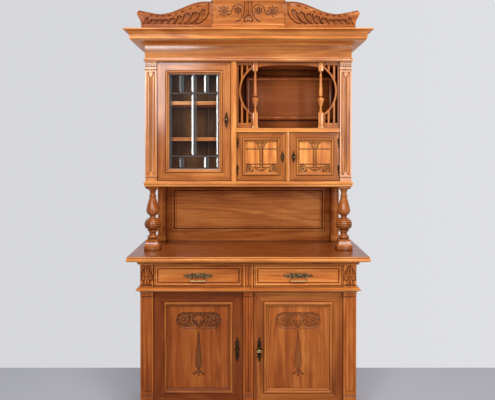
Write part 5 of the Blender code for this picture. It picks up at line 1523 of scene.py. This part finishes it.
def build_column(name):
    """A turned column: a vase over a gadrooned bulb, on a stepped foot and under a flared abacus."""
    node = "gallery_column_" + name
    low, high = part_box(node)
    x, y, _ = centre(node)
    z = low.z
    foot = 0.043
    small = 0.034
    bm = bmesh.new()
    square_block(bm, x, y, foot, z, z + 0.026, 0.0015)
    step = (
        (foot - 0.001, 0.0258), (0.0395, 0.0272), (0.0362, 0.0310), (small, 0.0350), (small, 0.0585),
        (small - 0.0015, 0.0602),
    )
    cap = (
        (0.0290, -0.0140), (0.0300, -0.0125), (0.0325, -0.0085), (0.0350, -0.0066), (0.0360, -0.0056),
        (0.0360, 0),
    )
    for base, rows in ((z, step), (high.z, cap)):
        skin([rect_xy(x - grow, x + grow, y - grow, y + grow, base + up) for grow, up in rows], bm=bm)
    start, end, count, rise = GADROONS
    lathed(turning(COLUMN_TURNINGS, z), (x, y), 84, bm, (z + start, z + end, count, rise))
    place(node + "_turned", bm, walnut("z", shade=0.70, polish=0.7, red=0.2), "case", node, sharp=40)


def pilaster_face(x0, x1, z0, z1):
    """Carving of an upper pilaster: two hollows with a heart above and a fork below, and a toothed cap."""
    middle = (x0 + x1) / 2
    low = z0 + 0.028
    high = z1 - 0.048
    bottom = low + 0.008
    top = high - 0.008
    teeth = 7
    cuts = (
        (high + 0.003, 0.004, 0.0030), (high + 0.020, 0.0026, 0.0022), (low - 0.008, 0.0030, 0.0024),
        (z1 - 0.006, 0.0025, 0.0022),
    )

    def carve(x, z):
        a = np.abs(x - middle)
        shaft = (z > low) & (z < high)
        run = (z < top) & (z > bottom)
        up = np.clip((z - (top - 0.034)) / 0.034, 0, 1)
        down = np.clip((bottom + 0.020 - z) / 0.020, 0, 1)
        inner = 0.0016 + 0.0115 * np.sin(up * math.pi * 0.5) ** 1.4 * (1 - 0.5 * up**6) + 0.0110 * down
        outer = 0.0245 - 0.0040 * up**4 - 0.0035 * down**4
        share = (a - (inner + outer) / 2) / np.maximum((outer - inner) / 2, 0.0005)
        hollow = dome(share) * run
        height = np.where(shaft, -0.0022 - 0.0062 * hollow, 0.0)
        stain = np.where(shaft, 0.55 * np.clip(share * -0.5 + 0.5, 0, 1) * (hollow > 0), 0.0)
        cleft = dome(a / 0.0016) * (z > top - 0.010) * run
        height, stain = scored(np.minimum(height, -0.0030 * cleft), stain, z, cuts, 0.8)
        tooth = np.abs(((x - x0) / (x1 - x0) * teeth) % 1 - 0.5) < 0.25
        between_teeth = (z > high + 0.024) & (z < high + 0.034) & ~tooth
        return np.where(between_teeth, -0.0075, height), np.where(between_teeth, 1.0, stain)

    return carve


def build_hutch():
    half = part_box("hutch_side_right")[1].x
    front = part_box("hutch_pilaster_left")[0].y
    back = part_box("hutch_back")[1].y
    grain = ("wrap", half, front)
    bright = walnut(grain, key="hutch_round", shade=1.3)
    polished = walnut(grain, key="frieze_round", shade=0.92, polish=1.0)
    low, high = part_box("hutch_floor")
    p = high.x - half
    t = high.z - low.z
    base = section((
        (0.001, 0), (0.002, 0.003), (0.002, t * 0.30, 0.005, t * 0.18, -80, 70, 5),
        (0.006, t * 0.50), (p - 0.0045, t * 0.66, 0.0045, t * 0.14, -85, 85, 6),
        (0.003, t * 0.83), (0.003, t, -0.003, -t * 0.15, 90, 10, 4),
    ), low.z)
    base[-1] = (0.0, high.z)
    low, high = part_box("frieze")
    frieze = section((
        (0.001, 0), (0.002, 0.002), (0.002, 0.009, 0.006, 0.007, -80, 80, 7),
        (0.003, 0.0165), (0.003, 0.0195), (0.0005, 0.022), (0, 0.024), (0, high.z - low.z),
    ), low.z)
    low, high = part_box("cornice")
    reach = high.x - half
    t = high.z - low.z
    cornice = section((
        (0.0, 0), (0.004, 0), (0.004, 0.003), (0.066, 0.003, -0.060, 0.0165, 4, 88, 10),
        (0.0675, 0.0200), (0.0675, 0.0222), (0.0640, 0.0228), (0.0640, 0.0262),
        (0.0725, 0.0268), (0.0730, 0.0275), (0.0730, 0.0510), (0.0742, 0.0522),
        (reach - 0.0015, 0.0535, -(reach - 0.0765), 0.0190, 4, 86, 8),
        (reach - 0.0008, 0.0732), (reach, 0.0740), (reach, t - 0.0010), (reach - 0.0008, t),
    ), low.z)
    for name, node, layers, material in (
        ("hutch_base_moulding", "hutch_floor", base, bright),
        ("frieze_moulded", "frieze", frieze, polished),
        ("cornice_moulded", "cornice", cornice, bright),
    ):
        place(name, moulded(half, front, back, layers), material, "case", node)
    for name, _ in SIDES:
        node = "hutch_pilaster_" + name
        low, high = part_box(node)
        mesh = carved_board(node + "_carved", low, high, pilaster_face(low.x, high.x, low.z, high.z), 0.0011)
        place(node + "_carved", mesh, walnut("z", 1.0, 1.2, polish=1.1), "case", node)
    # The partition and mullion take painted shade in their recesses
    dress(walnut("z", shade=1.26, polish=0.5, sunk=True), "partition", "small_door_mullion")
    dress(walnut("x", shade=1.1), "niche_floor")
    dress(walnut("x", shade=1.2), "glass_door_shelf_lower", "glass_door_shelf_upper")


SPINDLE_TURNINGS = (
    ((0.0105, 0.233), (0.0112, 0.240), (0.0092, 0.250), (0.0062, 0.262)),
    ((0.0078, 0.268), (0.0082, 0.275), (0.0074, 0.282)),
    ((0.0050, 0.288), (0.0046, 0.305), (0.0056, 0.322)),
    ((0.0072, 0.328), (0.0100, 0.350), (0.0140, 0.382), (0.0182, 0.418), (0.0196, 0.438), (0.0188, 0.453)),
    ((0.0110, 0.460), (0.0058, 0.466), (0.0054, 0.478)),
    ((0.0098, 0.486), (0.0116, 0.494), (0.0112, 0.503)),
    ((0.0094, 0.510), (0.0104, 0.528), (0.0100, 0.580), (0.0086, 0.660), (0.0068, 0.740), (0.0060, 0.776)),
    ((0.0080, 0.784), (0.0088, 0.792), (0.0080, 0.800)),
    ((0.0046, 0.807), (0.0048, 0.826), (0.0060, 0.846), (0.0096, 0.862), (0.0110, 0.868)),
)
# Sight edge of the niche's back moulding and outer edge of its lining, as left, right, bottom and top
NICHE_MOULDING = (-0.019, 0.527, 1.698, 1.972)
NICHE_LINING = (-0.0725, 0.5575, 1.6405, 2.0115)


def build_niche():
    dress(walnut("z", shade=0.86, red=0.1), "niche_fret_left", "niche_fret_right")
    dress(walnut("x", shade=0.70, polish=0.2, red=0.3), "niche_valance")
    for name, _ in SIDES:
        node = "niche_spindle_" + name
        low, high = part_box(node)
        x, y, _ = centre(node)
        z = low.z
        bm = bmesh.new()
        for half, z0, z1, ease in (
            (0.017, z, z + 0.0075, 0.0012),
            (0.0155, z + 0.0070, z + 0.0120, 0.0016),
            (0.0135, z + 0.0115, z + 0.087, 0.0013),
            (0.0135, high.z - 0.050, high.z, 0.0013),
        ):
            square_block(bm, x, y, half, z0, z1, ease)
        lathed(turning(SPINDLE_TURNINGS, z, high.z - z), (x, y), 40, bm)
        place(node + "_turned", bm, walnut("z", shade=1.40, polish=0.9), "case", node, sharp=40)
    thick = 0.0030
    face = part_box("hutch_back")[0].y - 0.0026
    profile = (
        (0, thick), (0, -0.0050), (0.0030, -0.0110), (0.0080, -0.0140), (0.0140, -0.0125), (0.0165, -0.0080),
        (0.0185, -0.0062), (0.0225, -0.0050), (0.0250, -0.0020), (0.0250, thick),
    )
    bm = skin([inset_xz(NICHE_MOULDING, inset, face + depth) for inset, depth in profile], endless=True)
    x0, x1, z0, z1 = NICHE_LINING
    eased_block(bm, (x0, face, z0), (x1, face + thick, z1), 0.0008)
    # The field takes a darker copy of the wood with painted shade in the recess, and the mouldings a lighter,
    # glossier one as a painted highlight
    field = walnut("x", shade=0.64, polish=0.0, red=0.45, sunk=True)
    moulding = walnut("z", shade=1.0, polish=0.8, red=0.4, sunk=True)
    on_moulding = lambda part: abs(part.normal.y) < 0.97
    place("niche_back_panel", bm, (field, moulding), "case", second=on_moulding)


# Crest


def build_crest():
    low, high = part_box("crest_tablet")
    top = high.z
    y = low.y + 0.010
    wide = high.x
    half = wide - 0.010
    foot = low.z + 0.036
    bm = bmesh.new()
    rows = ((0.010, 0.0), (0.010, 0.022), (0.007, 0.026), (0.0085, 0.029), (0.0068, 0.034), (0.0052, 0.036))
    rear = y - sizes().gap
    skin([rect_xy(-half - p + 0.005, half + p - 0.005, y - p, rear, low.z + up) for p, up in rows], bm=bm)
    cap = (
        (0.006, -0.016), (0.0062, -0.0135), (0.0075, -0.0125), (0.0092, -0.0085), (0.010, -0.005),
        (0.010, -0.0015), (0.0085, 0),
    )
    skin([rect_xy(-wide + 0.010 - p, wide - 0.010 + p, y - p, high.y, top + up) for p, up in cap], bm=bm)
    place("crest_mouldings", bm, walnut("x", shade=1.05), "case", "crest_tablet")
    corners = ((-half, low.y + 0.005, foot - 0.002), (half, high.y, top - 0.012))
    carve = lambda x, z: tablet_carving(x, z - foot - 0.0085)
    mesh = carved_board("crest_tablet_carved", *corners, carve, 0.0010)
    place("crest_tablet_carved", mesh, walnut("x", 1.0, 0.76), "case")
    for name, side in SIDES:
        build_wing(name, side, half)


# How far the outer end of a wing draws in, by share of its height up to the horn
HORN_HEIGHTS = (0, 0.39, 0.54, 0.69, 0.78, 0.84, 0.89, 0.94, 0.98, 1.0)
HORN_INSETS = (0.0235, 0.0215, 0.0160, 0.0060, 0.0010, 0, 0.0007, 0.0032, 0.0080)


def build_wing(name, side, tablet_half):
    """A crest wing: a carved face stretched between its shoulder, its long dip and its horn."""
    node = "crest_wing_" + name
    low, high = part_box(node)
    near, outer = sorted((abs(low.x), abs(high.x)))
    inner = tablet_half + 0.0003
    reach = outer - near
    shoulder = near + reach * 0.10
    valley = near + reach * 0.70
    horn = outer - reach * 0.04
    tall, dip, horn_rise = 0.160, 0.091, 0.020
    share = np.linspace(0, 1, 300)
    run = np.linspace(0, 1, 110)
    xs = inner + (horn - inner) * share
    drop = (1 - np.cos(math.pi * np.clip((xs - shoulder) / (valley - shoulder), 0, 1))) / 2
    rise = np.clip((xs - valley) / (horn - valley), 0, 1)
    tops = tall - (tall - dip) * drop + horn_rise * rise**1.35
    ends = outer - np.interp(run, HORN_HEIGHTS, (*HORN_INSETS, outer - horn))
    end_z = run * tops[-1]
    base_x = inner + (ends[0] - inner) * share
    s, t = np.meshgrid(share, run)
    x = (1 - t) * base_x[None, :] + t * xs[None, :] + (1 - s) * inner + s * ends[:, None]
    x -= (1 - s) * (1 - t) * inner + s * (1 - t) * ends[0] + (1 - s) * t * inner + s * t * xs[-1]
    z = t * tops[None, :] + (1 - s) * (run * tops[0])[:, None] + s * end_z[:, None]
    z -= (1 - s) * t * tops[0] + s * t * tops[-1]
    height, stain = wing_carving(x, z, inner, np.interp(x, xs, tops))
    y = low.y - height
    if side < 0:
        x, y, z, stain = -x[:, ::-1], y[:, ::-1], z[:, ::-1], stain[:, ::-1]
    mesh = carved_mesh(node + "_carved", x, y, z + low.z, high.y, stain)
    place(node + "_carved", mesh, walnut("x", 1.0, 0.70, red=0.2), "case", node)


def build_keys():
    dress(metal("rubbed_bronze"), "glass_door_key", "small_door_key")
    dress(metal("brass"), "lower_key")


# Stage


def floor_finish(name, tone):
    """A plain painted surface with a faint unevenness."""
    f = Finish(bpy.data.materials.new(name))
    cloud = f.cloud(1.5, 3.0)
    return f.set(Base_Color=f.mix(cloud * 0.5, tone, scaled(tone, 0.94)), Roughness=0.6 + cloud * 0.15)


def room_light(stage):
    """A pale wall behind the cabinet and a dim even light in front. A camera sees the wall all round."""
    f = Finish(bpy.data.worlds.new("room"), "Background")
    x, y, _ = f.spot("Generated")
    seen = f.node("ShaderNodeLightPath", output="Is Camera Ray")
    # The wall is painted a little brighter towards the right: painted light
    wall = f.mix(f.between(x, -0.35, 0.35), scaled(stage.wall, 0.96), scaled(stage.wall, 1.05))
    shown = f.math("MAXIMUM", seen, f.between(y, -0.05, 0.05))
    return f.set(Color=f.mix(shown, (stage.world,) * 3, wall), Strength=1.0)


def area_light(name, watts, size, spot, aim, tint):
    lamp = bpy.data.lights.new(name, "AREA")
    lamp.energy = watts
    lamp.shape = "RECTANGLE"
    lamp.size, lamp.size_y = size
    lamp.color = tint
    item = linked(name, lamp)
    item.location = spot
    item.rotation_euler = (Vector(aim) - Vector(spot)).to_track_quat("-Z", "Y").to_euler()
    item.visible_camera = False


def build_stage():
    scene = bpy.context.scene
    stage = scene.buffet_stage
    reach = 9
    mesh = bpy.data.meshes.new("floor")
    mesh.from_pydata(rect_xy(-reach, reach, -reach, stage.wall_y, 0), [], [(0, 1, 2, 3)])
    mesh.materials.append(finish("stage_floor", floor_finish, stage.floor))
    linked("floor", mesh)
    for lamp in (
        ("right_soft_box", stage.right_box, (0.4, 1.4), (1.13, -3.0, 1.85), (0.4, 0, 1.5), (1.0, 0.98, 0.96)),
        ("left_soft_box", stage.left_box, (0.75, 1.05), (-0.94, -3.3, 2.3), (-0.3, 0, 2.0), (0.95, 0.98, 1)),
        ("ceiling_light", stage.ceiling, (3.4, 2.0), (0.5, -3.6, 5.8), (0.1, 0, 1.2), (1.0, 0.98, 0.95)),
    ):
        area_light(*lamp)
    scene.world = room_light(stage)
    data = bpy.data.cameras.new("camera")
    data.lens = stage.lens
    data.sensor_width = 36
    data.sensor_fit = "HORIZONTAL"
    data.shift_x = stage.shift_x
    data.shift_y = stage.shift_y
    camera = linked("camera", data)
    camera.location = (0, -stage.distance, stage.height)
    camera.rotation_euler = (math.radians(90) - stage.pitch, 0, 0)
    scene.camera = camera
    scene.view_settings.view_transform = "Standard"


# Operators


class BUFFET_OT_cupboard(bpy.types.Operator):
    """Plinth, boards, posts, waist moulding and top"""

    bl_idname = "buffet.cupboard"
    bl_label = "Cupboard"

    def execute(self, context):
        build_plinth()
        build_lower_boards()
        build_posts()
        build_waist()
        build_top()
        return {"FINISHED"}


class BUFFET_OT_lower_doors(bpy.types.Operator):
    """Two carved doors with locks, key plates and pins"""

    bl_idname = "buffet.lower_doors"
    bl_label = "Lower doors"

    def execute(self, context):
        build_lower_doors()
        return {"FINISHED"}


class BUFFET_OT_drawers(bpy.types.Operator):
    """Two drawers with their pulls"""

    bl_idname = "buffet.drawers"
    bl_label = "Drawers"

    def execute(self, context):
        build_drawers()
        return {"FINISHED"}


class BUFFET_OT_gallery(bpy.types.Operator):
    """Panelled back and turned columns"""

    bl_idname = "buffet.gallery"
    bl_label = "Gallery"

    def execute(self, context):
        build_gallery()
        return {"FINISHED"}


class BUFFET_OT_hutch(bpy.types.Operator):
    """Base moulding, pilasters, frieze and cornice"""

    bl_idname = "buffet.hutch"
    bl_label = "Upper cabinet"

    def execute(self, context):
        build_hutch()
        return {"FINISHED"}


class BUFFET_OT_niche(bpy.types.Operator):
    """Fretwork screen, spindles and back panel"""

    bl_idname = "buffet.niche"
    bl_label = "Niche"

    def execute(self, context):
        build_niche()
        return {"FINISHED"}


class BUFFET_OT_glass_door(bpy.types.Operator):
    """Leaded and bevelled glass door"""

    bl_idname = "buffet.glass_door"
    bl_label = "Glass door"

    def execute(self, context):
        build_glass_door()
        return {"FINISHED"}


class BUFFET_OT_small_doors(bpy.types.Operator):
    """Two small carved doors with their hinges"""

    bl_idname = "buffet.small_doors"
    bl_label = "Small doors"

    def execute(self, context):
        build_small_doors()
        return {"FINISHED"}


class BUFFET_OT_crest(bpy.types.Operator):
    """Carved tablet and wings"""

    bl_idname = "buffet.crest"
    bl_label = "Crest"

    def execute(self, context):
        build_crest()
        return {"FINISHED"}


class BUFFET_OT_keys(bpy.types.Operator):
    """Finish of the keys"""

    bl_idname = "buffet.keys"
    bl_label = "Keys"

    def execute(self, context):
        build_keys()
        return {"FINISHED"}


class BUFFET_OT_stage(bpy.types.Operator):
    """Floor, room, lights and camera"""

    bl_idname = "buffet.stage"
    bl_label = "Stage"

    def execute(self, context):
        build_stage()
        return {"FINISHED"}


OPERATORS = (
    BUFFET_OT_cupboard, BUFFET_OT_lower_doors, BUFFET_OT_drawers, BUFFET_OT_gallery, BUFFET_OT_hutch,
    BUFFET_OT_niche, BUFFET_OT_glass_door, BUFFET_OT_small_doors, BUFFET_OT_crest, BUFFET_OT_keys,
    BUFFET_OT_stage,
)


class BUFFET_PT_panel(bpy.types.Panel):
    """Lists the buffet's pieces and its settings."""

    bl_idname = "BUFFET_PT_panel"
    bl_label = "Buffet Cabinet"
    bl_space_type = "VIEW_3D"
    bl_region_type = "UI"
    bl_category = "Buffet"

    def draw(self, context):
        layout = self.layout
        for operator in OPERATORS:
            layout.operator(operator.bl_idname)
        for group in (context.scene.buffet_sizes, context.scene.buffet_colours, context.scene.buffet_stage):
            box = layout.box()
            for key in group.bl_rna.properties.keys():
                if key not in {"rna_type", "name"}:
                    box.prop(group, key)


GROUPS = {"buffet_sizes": BuffetSizes, "buffet_colours": BuffetColours, "buffet_stage": BuffetStage}
CLASSES = (*GROUPS.values(), *OPERATORS, BUFFET_PT_panel)


def register():
    for item in CLASSES:
        bpy.utils.register_class(item)
    for name, group in GROUPS.items():
        setattr(bpy.types.Scene, name, PointerProperty(type=group))


def unregister():
    for name in GROUPS:
        delattr(bpy.types.Scene, name)
    for item in reversed(CLASSES):
        bpy.utils.unregister_class(item)


def main():
    register()
    for item in list(bpy.data.objects):
        if item.name in {"Cube", "Light", "Camera"}:
            bpy.data.objects.remove(item)
    for operator in OPERATORS:
        group, name = operator.bl_idname.split(".")
        getattr(getattr(bpy.ops, group), name)()
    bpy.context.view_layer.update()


if __name__ == "__main__":
    main()
